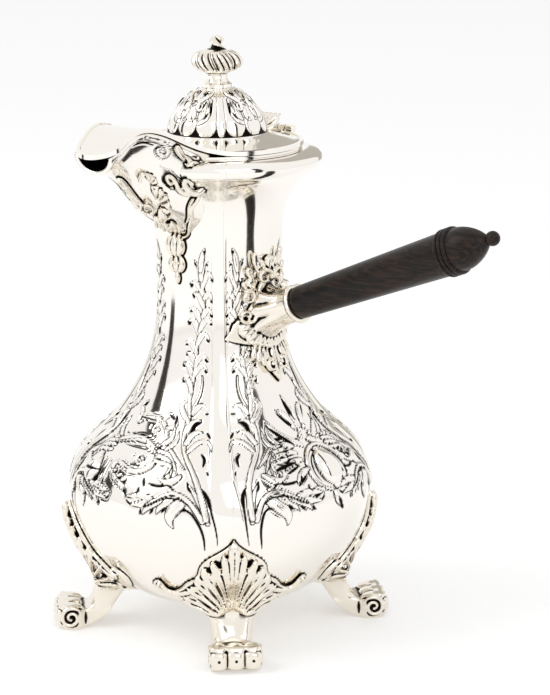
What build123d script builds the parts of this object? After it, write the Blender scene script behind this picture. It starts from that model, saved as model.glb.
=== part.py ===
from build123d import *

import os
from math import cos, radians, sin

# Silver side-handled chocolate pot: a pear-shaped raised body on four cast scroll feet, a beak
# spout, an ebony side handle in an acanthus socket, and a hinged lid whose flap covers the spout.
#
# Frame: millimetres, +Z up, origin on the pot's axis at table level. The spout points along -Y,
# the handle along +X, the lid hinge is on the +Y side, and the feet stand on the diagonals.

# ---------------------------------------------------------------- driving dimensions
WALL = 1.0  # gauge of the raised sheet
BASE_Z = 13.0  # underside of the body above the table
BELLY_SEAM = 60.0  # the body is raised in four rings, soldered and planished flush at three seams
SHOULDER_SEAM = 100.0
COLLAR_SEAM = 202.0
COLLAR_R = 44.9  # widest part of the rolled collar under the lid
COLLAR_Z = 208.6
MOUTH_R = 35.3  # where the collar turns in to the mouth wire
MOUTH_Z = 213.4
LID_R = 36.3
LID_Z = 214.8  # underside of the closed lid
LID_WALL = 0.9
GAP = 0.3  # air between the closed lid and the edges it lies over
TURN_IN = 0.7  # how far the collar's roof runs inside the mouth wire
RIM = 1.1  # height of the mouth wire
BEZEL_R = 33.4
BEZEL_DEPTH = 3.6

SPOUT_WALL = 1.1
SPOUT_END = 78.5
LIP_PROUD = 0.8  # how far the lip wire stands out from the spout wall
LIP_WIDTH = 2.2
BORDER = 3.2  # width of the applied border round the spout's seat
FLAP_WALL = 1.3
FLAP_TIP = 82.0
WIRE = 0.7  # half width of the reeded wire round the lid's edge

HINGE_Y = 40.4
HINGE_Z = 217.0
KNUCKLE_R = 1.8
PIN_R = 0.9
RUN = 0.05  # radial clearance of the lid's knuckles on the hinge pin
KNUCKLES = 5
KNUCKLE = 3.6  # length of one knuckle
SIDE_PLAY = 0.3  # air between the ends of neighbouring knuckles

HANDLE_TILT = 22.0  # degrees above the horizontal
SHOULDER = (45.2, 150.7)  # where the grip meets the ferrule: distance from the axis, height
FERRULE_R = 7.6
TENON_R = 4.6
TENON = 13.0
GRIP_R = 9.2
GRIP = 82.0  # length of the plain taper
BEAD_R = 10.2
BEADS = 3
BEAD = 2.1
DOME = 15.2
KNOB_R = 3.1
NECK_R = 1.9  # between the dome and the knob
SOCKET_DROP = 9.0  # root of the socket's leaves below the grip's shoulder
SOCKET_FOOT = 14.5  # radius of the socket where it meets the neck
RIVET_R = 1.0
PIN_SETBACK = 7.6  # handle rivet behind the ferrule mouth

TOE_HALF = 10.6
LEG_HALF = 8.0
LEAF = 2.0  # thickness of the cast leaf on the body
STRAP = 0.9  # how far the corner straps stand out of the body
CORNERS = {"front_right": -45, "back_right": 45, "back_left": 135, "front_left": 225}

STUD_R = 1.6  # stud that holds the finial
BUD_Z = 245.2  # where the bud stands on its base
CROWN_Z = 250.4  # middle of the bud's lobes
CROWN_LOBES = 8
TIP_Z = 261.5

# (radius, height) stations of the pear-shaped body from the middle of its base to the collar
BODY = [
    (0, BASE_Z),
    (28, 15.0),
    (44.8, 22.4),
    (56.4, 34.5),
    (63.4, 47.5),
    (65.9, 60.0),
    (64.8, 71.5),
    (59.0, 82.0),
    (48.8, 92.0),
    (40.2, 102.5),
    (33.2, 114.5),
    (28.6, 128.0),
    (26.5, 143.0),
    (26.2, 158.0),
    (27.2, 176.0),
    (30.0, 190.0),
    (34.8, 198.2),
    (40.6, 203.9),
]
# (half width, height) of the tapered strap that runs up the body over each foot
STRAP_HALF = [(0, 59), (4.4, 74), (4.6, 104), (3.6, 146), (0, 188)]

# (radius, height) stations of the lid from its edge up the flange and the dome
FLANGE = [(LID_R, LID_Z + 1.1), (32.0, 216.9), (26.5, 218.2), (21.6, 220.2)]
CUP = [(20.4, 220.8), (19.6, 224.6), (16.6, 229.4), (13.6, 233.6), (8.6, 237.4), (0, 239.4)]

# (distance from the axis, half width, lowest point) stations of the spout
SPOUT = [
    (12, 20.5, 171.0),
    (22, 20.5, 176.0),
    (31, 19.0, 181.0),
    (41, 16.6, 186.8),
    (51, 14.2, 194.2),
    (60.5, 12.0, 203.4),
    (68, 10.9, 209.2),
    (74.5, 10.1, 211.6),
    (80, 9.4, 212.0),
]
# (distance from the axis, height) of the spout's wavy edge, level over the mouth
EDGE = [(21, MOUTH_Z + RIM), (30.5, 216.2), (41.2, 220.5), (50.8, 225.1), (60.5, 227.5),
        (67.8, 226.0), (74.5, 221.4), (FLAP_TIP + 2, 217.6)]


# ---------------------------------------------------------------- helpers
def turn(outline, start=0.0, arc=360.0):
    """Solid turned about the pot's axis from a closed outline of (radius, height) edges."""
    return Rot(0, 0, start) * revolve(Plane.XZ * make_face(outline), Axis.Z, arc)


def beside(curve, distance, first=0.0, last=1.0, samples=26):
    """Spline at this distance to the left of a profile curve, over part of its length."""
    points = []
    for i in range(samples + 1):
        u = first + (last - first) * i / samples
        point, along = curve @ u, curve % u
        points.append((point.X - distance * along.Y, point.Y + distance * along.X))
    return Spline(*points)


def tube(r_in, r_out, low, high):
    """Upright ring on the pot's axis."""
    outer = Cylinder(r_out, high - low, align=(Align.CENTER, Align.CENTER, Align.MIN))
    inner = Cylinder(r_in, high - low, align=(Align.CENTER, Align.CENTER, Align.MIN))
    return Pos(0, 0, low) * (outer - inner)


def rod(radius, length, x, y, z):
    """Rod along X with its middle here."""
    return Pos(x, y, z) * Rot(0, 90, 0) * Cylinder(radius, length)


def across(outline, half):
    """Solid of this half width on both sides of the YZ plane from an outline of (-y, z) edges."""
    side_plane = Plane((0, 0, 0), x_dir=(0, -1, 0), z_dir=(-1, 0, 0))
    return extrude(side_plane * make_face(outline), half, both=True)


def keep_largest(shape):
    return max(shape.solids(), key=lambda solid: solid.volume)


# ---------------------------------------------------------------- shared forms
body_curve = Spline(*BODY, tangents=[(1, 0), (0.76, 0.65)])
collar_curve = ThreePointArc(body_curve @ 1, (COLLAR_R, COLLAR_Z), (COLLAR_R - 2.1, COLLAR_Z + 3.3))
seat_curve = Spline(collar_curve @ 1, (MOUTH_R, MOUTH_Z), tangents=[collar_curve % 1, (-1, 0)])
edge_curve = Spline(*EDGE, tangents=[(1, 0), (1, -0.35)])


def body_blank():
    """The body's outer form filled solid: soldered pieces are cut back to it."""
    top = Line(seat_curve @ 1, (0, MOUTH_Z))
    axis = Line((0, MOUTH_Z), (0, BASE_Z))
    return turn([body_curve, collar_curve, seat_curve, top, axis])


def body_hollow():
    """The space inside the body, one gauge within the blank and open at the mouth."""
    bowl = beside(body_curve, WALL, samples=44)
    flare = ThreePointArc(
        bowl @ 1, (COLLAR_R - WALL, COLLAR_Z), (COLLAR_R - 2.1 - 0.6 * WALL, COLLAR_Z + 3.3 - 0.8 * WALL)
    )
    roof = Spline(flare @ 1, (MOUTH_R - TURN_IN, MOUTH_Z - WALL), tangents=[flare % 1, (-1, 0)])
    throat = Line(roof @ 1, (MOUTH_R - TURN_IN, MOUTH_Z + 5))
    top = Line(throat @ 1, (0, MOUTH_Z + 5))
    axis = Line(top @ 1, bowl @ 0)
    return turn([bowl, flare, roof, throat, top, axis])


def skin(thickness, first, last, sunk=2.0):
    """Skin that stands this far out of the body between two shares of its profile, and is sunk in it."""
    inner = beside(body_curve, sunk, first, last, 40)
    outer = beside(body_curve, -thickness, first, last, 40)
    return turn([inner, outer, Line(inner @ 0, outer @ 0), Line(inner @ 1, outer @ 1)])


def edge_height(reach):
    """Height of the spout's edge at this distance from the axis."""
    if reach <= EDGE[0][0]:
        return EDGE[0][1]
    low, high = 0.0, 1.0
    for _ in range(30):
        middle = (low + high) / 2
        low, high = (middle, high) if (edge_curve @ middle).X < reach else (low, middle)
    return (edge_curve @ low).Y


def spout_form(grow):
    """Spout as a loft of ovals centred on its edge, grown outwards by this much."""
    ovals = []
    for reach, half, low in SPOUT:
        top = edge_height(reach)
        plane = Plane((0, -reach, top), x_dir=(1, 0, 0), z_dir=(0, -1, 0))
        ovals.append(plane * Ellipse(half + grow, top - low + grow))
    return loft(ovals)


def over_edge(low, high, half=60.0):
    """Slab that follows the mouth and the spout's edge between two heights above them."""
    under = edge_curve.moved(Location((0, low, 0)))
    over = edge_curve.moved(Location((0, high, 0)))
    flat_under = Line((-60, EDGE[0][1] + low), under @ 0)
    flat_over = Line((-60, EDGE[0][1] + high), over @ 0)
    ends = [Line(flat_under @ 0, flat_over @ 0), Line(under @ 1, over @ 1)]
    return across([flat_under, under, flat_over, over, *ends], half)


def lid_plan(grow):
    """Plan of the lid: its disc and the flap that reaches to the spout's tip."""
    side = [(half + 0.5 + grow, -reach) for reach, half, _ in SPOUT[1:-1]]
    right = Spline(*side)
    left = mirror(right, Plane.YZ)
    tip = ThreePointArc(right @ 1, (0, -FLAP_TIP - grow), left @ 1)
    back = Line(right @ 0, left @ 0)
    flap = make_face([right, tip, left, back])
    return Circle(LID_R + grow) + flap


BLANK = body_blank()
HOLLOW = body_hollow()
SPOUT_OUT = spout_form(0)
SPOUT_IN = spout_form(-SPOUT_WALL)
ABOVE_SPOUT = over_edge(0, 60)
SPOUT_CUT = Pos(0, -SPOUT_END - 20, 215) * Rot(8, 0, 0) * Box(80, 40, 80)


# ---------------------------------------------------------------- body of the pot
def strap_blank():
    """Long tapered blade that cuts the strap over one foot out of a skin round the body."""
    half = Spline(*STRAP_HALF, tangents=[(1, 0.8), (-0.5, 1)])
    return extrude(Plane.YZ * make_face([half, mirror(half, Plane.YZ)]), 90)


def body_shell():
    """The whole raised body, open at the mouth and behind the spout, with a smooth strap above each foot."""
    shell = BLANK - HOLLOW - SPOUT_OUT
    raised = skin(STRAP, 0.38, 0.92, WALL / 2)
    for azimuth in CORNERS.values():
        shell += raised & (Rot(0, 0, azimuth) * strap_blank())
    return keep_largest(shell)


BODY_SHELL = body_shell()


def body_section(low, high):
    """Ring of the body between two solder seams."""
    above = split(BODY_SHELL, Plane.XY.offset(low), keep=Keep.TOP)
    return keep_largest(split(above, Plane.XY.offset(high), keep=Keep.BOTTOM))


def mouth_wire():
    """Half-round wire on the turned-in edge of the mouth."""
    ring = tube(MOUTH_R - TURN_IN, MOUTH_R + 1.0, MOUTH_Z, MOUTH_Z + RIM)
    return keep_largest(fillet(ring.edges().group_by(Axis.Z)[-1], 0.4) - SPOUT_OUT)


def spout_shell():
    """Raised beak spout, open into the body and at its end, ending under the lid's flap."""
    return keep_largest(SPOUT_OUT - SPOUT_IN - ABOVE_SPOUT - HOLLOW - SPOUT_CUT)


def spout_lip():
    """Wire round the open end of the spout, outside its wall."""
    band = Pos(0, -SPOUT_END + LIP_WIDTH / 2 + 0.4, 215) * Rot(8, 0, 0) * Box(80, LIP_WIDTH, 80)
    return keep_largest((spout_form(LIP_PROUD) - SPOUT_OUT - over_edge(-0.6, 60)) & band)


def spout_border(side):
    """Cast scroll border soldered on the neck along one side of the spout's seat."""
    strip = (skin(1.2, 0.72, 0.985) & spout_form(BORDER)) - SPOUT_OUT - BLANK
    half = Pos(side * 30.2, -30, 200) * Box(60, 60, 120)
    return keep_largest(strip & half)


def spout_pendant():
    """Husk of three drops that hangs on the neck below the spout."""
    drops = None
    for height, radius in ((172.4, 2.6), (167.0, 2.1), (162.9, 1.5)):
        drop = Pos(0, -26.9, height) * scale(Sphere(radius), (1, 0.8, 1.4))
        drops = drop if drops is None else drops + drop
    return keep_largest(drops - BLANK - spout_form(BORDER))


def spout_rosette(side):
    """Five-petalled shell flower soldered on one side of the spout."""
    flower = scale(Sphere(2.6), (0.9, 1, 1))
    for petal in range(5):
        angle = 90 + 72 * petal
        flower += Rot(angle, 0, 0) * Pos(0, 0, 4.2) * scale(Sphere(2.9), (0.62, 0.95, 1.25))
    flower = Rot(0, 0, side * 12) * Rot(0, side * 24, 0) * flower
    return keep_largest(Pos(side * 12.6, -52.5, 203.0) * flower - SPOUT_OUT)


# ---------------------------------------------------------------- feet
# half outline of the foot's acanthus leaf with its tendril: sideways distance and height on the body
LEAF_HALF = [
    (0, 57.5), (3.6, 53.0), (8.6, 49.6), (12.6, 46.4), (14.6, 42.0), (15.2, 38.6),
    (19.4, 35.0), (21.6, 31.6), (25.2, 29.6), (28.6, 32.6), (31.2, 35.0), (33.0, 32.6),
    (30.6, 28.2), (25.2, 24.6), (19.6, 22.4), (14.6, 19.4), (0, 17.6),
]
# half width of the leg at distances from the axis, from under the body to the toe
LEG_PLAN = [
    (38, 10.6), (50, 9.2), (57.4, LEG_HALF), (61.2, LEG_HALF + 0.2), (63.6, TOE_HALF), (71.4, TOE_HALF),
]


def leg_side():
    """Side view of the S-curved leg and its rolled toe, as (distance from the axis, height) edges."""
    heel = [(40.6, 22.0), (44.2, 16.2), (51.4, 6.4), (58.2, 1.7), (64.6, 0)]
    under = Spline(*heel, tangents=[(0.4, -1), (1, 0)])
    pad = Line(under @ 1, (68.4, 0))
    toe = Spline(pad @ 1, (71.8, 2.4), (73.2, 6.8), (72.8, 10.6), tangents=[(1, 0), (-0.3, 1)])
    curl = Spline(toe @ 1, (70.2, 11.4), (66.6, 10.4), (63.0, 8.6), tangents=[(-0.7, 0.7), (-0.8, -0.6)])
    ankle = [curl @ 1, (59.2, 9.6), (55.4, 14.6), (54.8, 23.0), (58.2, 34.0)]
    shin = Spline(*ankle, tangents=[(-1, 0.1), (0.4, 1)])
    back = Line(shin @ 1, (50, 31))
    return [under, pad, toe, curl, shin, back, Line(back @ 1, under @ 0)]


def leg_plan():
    """Plan of the leg, ending in the three lobes of the toe."""
    near = Polyline(*[(x, -y) for x, y in LEG_PLAN])
    far = Polyline(*LEG_PLAN)
    end, valley = LEG_PLAN[-1][0], LEG_PLAN[-1][0] + 0.4
    lobes = [
        ThreePointArc((end, -TOE_HALF), (73.0, -7.4), (valley, -3.9)),
        ThreePointArc((valley, -3.9), (73.9, 0), (valley, 3.9)),
        ThreePointArc((valley, 3.9), (73.0, 7.4), (end, TOE_HALF)),
    ]
    return [near, *lobes, far, Line(near @ 0, far @ 0)]


def foot(azimuth):
    """Cast cabriole foot: acanthus leaf on the body, S-curved leg and a rolled, lobed scroll toe."""
    half = Spline(*LEAF_HALF)
    sheet = extrude(Plane.YZ * make_face([half, mirror(half, Plane.YZ)]), 90)
    leaf = skin(LEAF, 0.14, 0.40) & sheet
    side = extrude(Plane.XZ * make_face(leg_side()), 30, both=True)
    leg = side & extrude(make_face(leg_plan()), 60)
    return Rot(0, 0, azimuth) * keep_largest(leaf + leg - BLANK)


# ---------------------------------------------------------------- handle
AXIS = Plane(
    (SHOULDER[0], 0, SHOULDER[1]),
    x_dir=(0, 1, 0),
    z_dir=(cos(radians(HANDLE_TILT)), 0, sin(radians(HANDLE_TILT))),
)


def on_handle(outline):
    """Solid turned about the handle's axis from (radius, distance from the shoulder) edges."""
    return AXIS * revolve(Plane.XZ * make_face(outline), Axis.Z)


def rivet_hole():
    """Hole for the pin that crosses the ferrule and the tenon."""
    return AXIS * Pos(0, 0, -PIN_SETBACK) * Rot(0, 90, 0) * Cylinder(RIVET_R, 40)


def socket_leaf(bearing, length, width):
    """Plan of one pointed leaf on the neck, growing from the ferrule's root at this bearing."""
    side = [(width, 9), (width * 0.9, length * 0.6), (width * 0.4, length * 0.9)]
    half = Spline((0, 2), *side, (0, length + 2))
    blade = make_face([half, mirror(half, Plane.YZ)])
    on_neck = Plane((20, 0, SHOULDER[1] - SOCKET_DROP), x_dir=(0, 1, 0), z_dir=(1, 0, 0))
    return extrude(on_neck * Rot(0, 0, bearing - 90) * blade, 30)


def handle_socket():
    """Cast socket: a ferrule for the grip's tenon, flaring into acanthus leaves on the neck."""
    flare = [(FERRULE_R, 0), (7.0, -4), (7.2, -10), (10.0, -19), (SOCKET_FOOT, -26)]
    wall = Spline(*flare, tangents=[(-0.6, -1), (0.6, -0.8)])
    depth = -TENON - 0.4
    bore = Polyline((FERRULE_R, 0), (TENON_R, 0), (TENON_R, depth), (0, depth), (0, -26), (SOCKET_FOOT, -26))
    cone = on_handle([wall, bore])
    leaves = socket_leaf(90, 20, 7.0)
    for bearing, length, width in ((200, 20, 7.4), (270, 25, 8.2), (340, 20, 7.4)):
        leaves += socket_leaf(bearing, length, width)
    return keep_largest((skin(1.9, 0.50, 0.86) & leaves) + cone - BODY_SHELL - BLANK - rivet_hole())


def handle_grip():
    """Turned ebony grip: tenon, taper, three beads, domed end and ball knob in one piece."""
    tenon = Polyline((0, -TENON), (TENON_R - 0.1, -TENON), (TENON_R - 0.1, 0), (6.0, 0))
    taper = Spline(tenon @ 1, (7.0, 1.6), (7.9, 34), (GRIP_R, GRIP), tangents=[(1, 0.3), (0.02, 1)])
    edges = [tenon, taper]
    start = taper @ 1
    for _ in range(BEADS):
        edges.append(ThreePointArc(start, (BEAD_R, start.Y + BEAD / 2), (GRIP_R, start.Y + BEAD)))
        start = edges[-1] @ 1
    neck = (NECK_R, start.Y + DOME)
    dome = [start, (8.3, start.Y + 5.2), (5.2, start.Y + 11.2), neck]
    top = neck[1] + 1.2
    edges.append(Spline(*dome, tangents=[(0, 1), (-0.9, 0.6)]))
    edges.append(Polyline(neck, (NECK_R, top), (0, top), (0, -TENON)))
    knob = AXIS * Pos(0, 0, neck[1] + KNOB_R - 0.3) * Sphere(KNOB_R)
    return keep_largest(on_handle(edges) + knob - rivet_hole())


def handle_rivet():
    """Silver pin through the ferrule and the tenon."""
    return AXIS * Pos(0, 0, -PIN_SETBACK) * Rot(0, 90, 0) * Cylinder(RIVET_R, 2 * 7.2)


# ---------------------------------------------------------------- lid
def flange_and_cup(inset):
    """Lid form filled solid from its underside up to the flange and the cup, set in by this much."""
    flange = Spline(*FLANGE, tangents=[(-1, 0.35), (-0.7, 0.7)])
    cup = Spline(*CUP, tangents=[(0.1, 1), (-1, 0.05)])
    step = Line(flange @ 1, cup @ 0)
    if inset:
        flange, cup = beside(flange, inset), beside(cup, inset, 0, 0.985)
        step = Line(flange @ 1, cup @ 0)
        start = (flange @ 0).X - 0.6
        crown = Line(cup @ 1, (0, (cup @ 1).Y))
        rim = Line((start, LID_Z - 4), flange @ 0)
        base = Line((0, LID_Z - 4), (start, LID_Z - 4))
        return turn([base, rim, flange, step, cup, crown, Line(crown @ 1, (0, LID_Z - 4))])
    rim = Line((LID_R, LID_Z), flange @ 0)
    base = Line((0, LID_Z), (LID_R, LID_Z))
    return turn([base, rim, flange, step, cup, Line(cup @ 1, (0, LID_Z))])


LID_FORM = flange_and_cup(0)
LID_INSIDE = flange_and_cup(LID_WALL)


def lid_wire():
    """Reeded wire round the whole edge of the lid and its flap, following the wavy edge."""
    rim = extrude(Pos(0, 0, 200) * (lid_plan(WIRE) - lid_plan(-WIRE)), 40)
    return keep_largest(rim & over_edge(GAP, GAP + 2 * WIRE + 0.5))


def lid_shell():
    """Lid of one raised sheet: cup, sloping flange and the flap that lies over the spout."""
    inside_wire = extrude(Pos(0, 0, 190) * lid_plan(-WIRE), 60)
    front = Pos(0, -72, 215) * Box(120, 100, 60)
    flap = (over_edge(GAP - 4, GAP + FLAP_WALL) & inside_wire & front) - LID_INSIDE
    sheet = (LID_FORM - LID_INSIDE) & inside_wire
    stud_hole = Pos(0, 0, 238) * Cylinder(STUD_R + 0.02, 8)
    return keep_largest(sheet + flap - over_edge(-60, GAP) - stud_hole)


def lid_bezel():
    """Ring under the lid that enters the mouth, cut away over the spout."""
    ring = tube(BEZEL_R - 0.8, BEZEL_R, LID_Z - BEZEL_DEPTH, LID_Z + 4)
    return keep_largest((ring & LID_INSIDE) - Pos(0, -40, 215) * Box(48, 60, 40))


# ---------------------------------------------------------------- hinge
def knuckles(first):
    """Every second knuckle of the hinge barrel, from this one on, with its bore."""
    pitch = KNUCKLE + SIDE_PLAY
    barrel = None
    for i in range(first, KNUCKLES, 2):
        x = (i - (KNUCKLES - 1) / 2) * pitch
        knuckle = rod(KNUCKLE_R, KNUCKLE, x, HINGE_Y, HINGE_Z)
        if first:
            arm = Pos(x, HINGE_Y - 2.9, HINGE_Z - 0.5) * Box(KNUCKLE, 5.8, 1.3)
        else:
            arm = Pos(x, HINGE_Y, HINGE_Z - 3.2) * Box(KNUCKLE, 2.6, 5.0)
        knuckle += arm
        barrel = knuckle if barrel is None else barrel + knuckle
    return barrel


def hinge_body():
    """Fixed leaf of the hinge: outer and middle knuckles on a foot soldered to the collar."""
    foot_plate = Pos(0, HINGE_Y, MOUTH_Z - 0.4) * Box(KNUCKLES * (KNUCKLE + SIDE_PLAY) - SIDE_PLAY, 3.4, 1.6)
    part = knuckles(0) + foot_plate - BLANK
    return keep_largest(part - rod(PIN_R, 40, 0, HINGE_Y, HINGE_Z))


def hinge_lid():
    """Moving leaf of the hinge: two knuckles on arms soldered to the lid's edge."""
    bridge = Pos(0, HINGE_Y - 5.0, HINGE_Z - 0.5) * Box(16, 2.6, 1.3)
    part = knuckles(1) + bridge - LID_FORM
    part -= extrude(Pos(0, 0, 200) * (lid_plan(WIRE) - lid_plan(-WIRE)), 17.1)
    return keep_largest(part - rod(PIN_R + RUN, 40, 0, HINGE_Y, HINGE_Z))


def hinge_pin():
    return rod(PIN_R, KNUCKLES * (KNUCKLE + SIDE_PLAY) + 0.8, 0, HINGE_Y, HINGE_Z)


def thumb_leaf():
    """Curled leaf on the back of the lid above the hinge, for the thumb."""
    curl = [(0, 0), (1.6, 0.6), (4.0, 3.0), (7.2, 5.0), (9.4, 4.4)]
    top = Spline(*[(29.0 + y, 218.4 + z) for y, z in curl])
    low = Spline(*[(29.0 + y, 216.6 + z) for y, z in curl])
    side = make_face([top, low, Line(top @ 0, low @ 0), Line(top @ 1, low @ 1)])
    blade = extrude(Plane.YZ * side, 7, both=True)
    half = Spline((0, 28.5), (4.6, 30.5), (6.4, 33.6), (4.4, 36.6), (0, 38.6))
    plan = extrude(Pos(0, 0, 190) * make_face([half, mirror(half, Plane.YZ)]), 60)
    return keep_largest((blade & plan) - LID_FORM)


# ---------------------------------------------------------------- finial
def finial_base():
    """Turned collar and stem under the finial, with the bore for its stud."""
    collar = [(STUD_R, 237.6), (4.6, 237.6), (6.2, 239.0), (6.4, 240.6), (5.0, 241.6)]
    stem = [(4.3, 242.8), (4.5, 244.2), (5.2, BUD_Z), (STUD_R, BUD_Z)]
    return keep_largest(turn([Polyline(*collar, *stem, close=True)]) - LID_FORM)


def finial_bud():
    """Cast bud with swelling lobes and a flame tip, and the stud that holds it to the lid."""
    crown = [(4.0, BUD_Z), (8.2, 247.6), (9.4, 250.6), (7.4, 253.8), (3.4, 255.4)]
    flame = [(2.6, 258.0), (1.2, 260.6), (0, TIP_Z)]
    core = turn([Spline(*crown, *flame), Polyline((0, TIP_Z), (0, BUD_Z), (4.0, BUD_Z))])
    lobe = Pos(6.9, 0, CROWN_Z) * scale(Sphere(3.2), (1.05, 0.92, 1.3))
    for i in range(CROWN_LOBES):
        core += Rot(0, 0, (i + 0.5) * 360 / CROWN_LOBES) * lobe
    stud = Pos(0, 0, 240.4) * Cylinder(STUD_R, 11.6)
    return keep_largest(core + stud)


def finial_nut():
    """Round nut that draws the stud up from inside the cup."""
    return keep_largest(tube(STUD_R, 3.6, 235.6, 241) & LID_INSIDE)


# ---------------------------------------------------------------- write the pieces
pieces = {
    "body_bowl": body_section(0, BELLY_SEAM),
    "body_shoulder": body_section(BELLY_SEAM, SHOULDER_SEAM),
    "body_neck": body_section(SHOULDER_SEAM, COLLAR_SEAM),
    "body_collar": body_section(COLLAR_SEAM, MOUTH_Z + 10),
    "mouth_wire": mouth_wire(),
    "spout_shell": spout_shell(),
    "spout_lip": spout_lip(),
    "spout_border_left": spout_border(-1),
    "spout_border_right": spout_border(1),
    "spout_rosette_left": spout_rosette(-1),
    "spout_rosette_right": spout_rosette(1),
    "spout_pendant": spout_pendant(),
    "handle_socket": handle_socket(),
    "handle_grip": handle_grip(),
    "handle_rivet": handle_rivet(),
    "hinge_body": hinge_body(),
    "hinge_pin": hinge_pin(),
    "hinge_lid": hinge_lid(),
    "thumb_leaf": thumb_leaf(),
    "lid_shell": lid_shell(),
    "lid_wire": lid_wire(),
    "lid_bezel": lid_bezel(),
    "finial_base": finial_base(),
    "finial_bud": finial_bud(),
    "finial_nut": finial_nut(),
}
for corner, azimuth in CORNERS.items():
    pieces[f"foot_{corner}"] = foot(azimuth)

os.makedirs("parts", exist_ok=True)
for name, piece in pieces.items():
    piece.label = name
    export_step(piece, f"parts/{name}.step")
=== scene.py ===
"""Looks of a chased silver chocolate pot: its raised body, castings, ebony grip and studio."""

import math

import bmesh
import bpy
import numpy as np
from bpy.props import FloatProperty, FloatVectorProperty, PointerProperty
from mathutils import Matrix, Vector
from mathutils.kdtree import KDTree


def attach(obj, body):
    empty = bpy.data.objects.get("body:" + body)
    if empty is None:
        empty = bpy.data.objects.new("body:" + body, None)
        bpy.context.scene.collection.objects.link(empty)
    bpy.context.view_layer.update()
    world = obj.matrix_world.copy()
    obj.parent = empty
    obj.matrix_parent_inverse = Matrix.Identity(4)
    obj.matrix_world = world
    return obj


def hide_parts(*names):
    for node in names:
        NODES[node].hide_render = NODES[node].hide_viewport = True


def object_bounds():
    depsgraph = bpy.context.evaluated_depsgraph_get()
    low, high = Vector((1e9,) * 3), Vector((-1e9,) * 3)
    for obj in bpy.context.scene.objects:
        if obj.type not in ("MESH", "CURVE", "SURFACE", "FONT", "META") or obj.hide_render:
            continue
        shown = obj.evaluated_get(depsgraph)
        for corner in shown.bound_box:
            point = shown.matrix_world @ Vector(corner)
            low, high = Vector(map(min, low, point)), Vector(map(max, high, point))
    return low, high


bl_info = {
    "name": "Chased Chocolate Pot",
    "version": (1, 0, 0),
    "blender": (4, 5, 0),
    "location": "3D View > Sidebar > Pot",
    "description": "Models the raised, chased and cast silver of a side-handled chocolate pot",
    "category": "Object",
}

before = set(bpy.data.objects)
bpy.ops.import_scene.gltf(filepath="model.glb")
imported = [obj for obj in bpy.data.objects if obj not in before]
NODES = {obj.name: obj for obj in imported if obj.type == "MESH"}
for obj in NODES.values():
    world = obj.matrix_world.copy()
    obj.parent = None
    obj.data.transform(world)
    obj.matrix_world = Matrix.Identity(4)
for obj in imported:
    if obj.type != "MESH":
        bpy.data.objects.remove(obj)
CAD_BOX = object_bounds()

MM = 0.001
POT, LID = "pot", "lid"  # the two bodies that the hinge joins
CORNERS = {"front_right": -45.0, "back_right": 45.0, "back_left": 135.0, "front_left": 225.0}
DRAWN = ("mouth_wire", "lid_wire", "hinge_body", "hinge_lid", "hinge_pin", "handle_rivet", "finial_nut")
RAISED = ("lid_shell", "lid_bezel", "finial_base", "spout_lip")

# (radius, height) of the body in millimetres, from near the middle of its base to the neck's flare
BODY = [
    (3, 13.02), (28, 15.0), (44.8, 22.4), (56.4, 34.5), (63.4, 47.5), (65.9, 60.0), (64.8, 71.5),
    (59.0, 82.0), (48.8, 92.0), (40.2, 102.5), (33.2, 114.5), (28.6, 128.0), (26.5, 143.0),
    (26.2, 158.0), (27.2, 176.0), (30.0, 190.0), (34.8, 198.2), (40.6, 203.9),
]
COLLAR = [
    (43.7, 206.2), (44.9, 208.6), (44.6, 210.7), (42.8, 211.9), (39.5, 213.0), (35.3, 213.4),
]
THROAT = [
    (34.6, 213.2), (34.7, 212.5), (38.6, 212.0), (42.4, 210.9), (43.8, 209.4), (43.9, 208.2),
    (42.8, 206.8),
]
DOME = [
    (21.8, 219.7), (20.9, 221.2), (20.0, 224.6), (17.1, 229.4), (14.1, 233.6), (9.2, 237.3),
    (6.0, 238.7),
]

# (distance from the axis, half width, lowest point) of the spout, and (distance, height) of its edge
SPOUT = np.array([
    (12, 20.5, 171.0), (22, 20.5, 176.0), (31, 19.0, 181.0), (41, 16.6, 186.8), (51, 14.2, 194.2),
    (60.5, 12.0, 203.4), (68, 10.9, 209.2), (74.5, 10.1, 211.6), (80, 9.4, 212.0),
])
EDGE = np.array([
    (12, 214.5), (21, 214.5), (30.5, 216.2), (41.2, 220.5), (50.8, 225.1), (60.5, 227.5),
    (67.8, 226.0), (74.5, 221.4), (84, 217.6),
])
# reach and height of a point on the spout's end, and how far the end leans
SPOUT_MOUTH = (78.7, 217.8, 0.14)
SPOUT_GAUGE = 1.1

HANDLE_TILT = 22.0  # degrees above the horizontal
SHOULDER = (45.2, 150.7)  # where the grip meets the ferrule: distance from the axis, height


# ---------------------------------------------------------------- curves and surfaces
def smooth_line(points, count):
    """Natural cubic spline through a few points, as this many points."""
    p = np.array(points, float)
    t = np.concatenate([[0.0], np.cumsum(np.linalg.norm(np.diff(p, axis=0), axis=1))])
    h = np.diff(t)
    system = np.eye(len(p))
    bend = np.zeros_like(p)
    for i in range(1, len(p) - 1):
        system[i, i - 1:i + 2] = h[i - 1], 2 * (h[i - 1] + h[i]), h[i]
        bend[i] = 6 * ((p[i + 1] - p[i]) / h[i] - (p[i] - p[i - 1]) / h[i - 1])
    m = np.linalg.solve(system, bend)
    s = np.linspace(0, t[-1], count)
    k = np.clip(np.searchsorted(t, s, side="right") - 1, 0, len(p) - 2)
    x, step = (s - t[k])[:, None], h[k][:, None]
    slope = (p[k + 1] - p[k]) / step - step * (2 * m[k] + m[k + 1]) / 6
    return p[k] + x * slope + x**2 * m[k] / 2 + x**3 * (m[k + 1] - m[k]) / (6 * step)


def share(value, low, high):
    """Smooth step from 0 at low to 1 at high."""
    t = np.clip((np.asarray(value, float) - low) / (high - low), 0, 1)
    return t * t * (3 - 2 * t)


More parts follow.
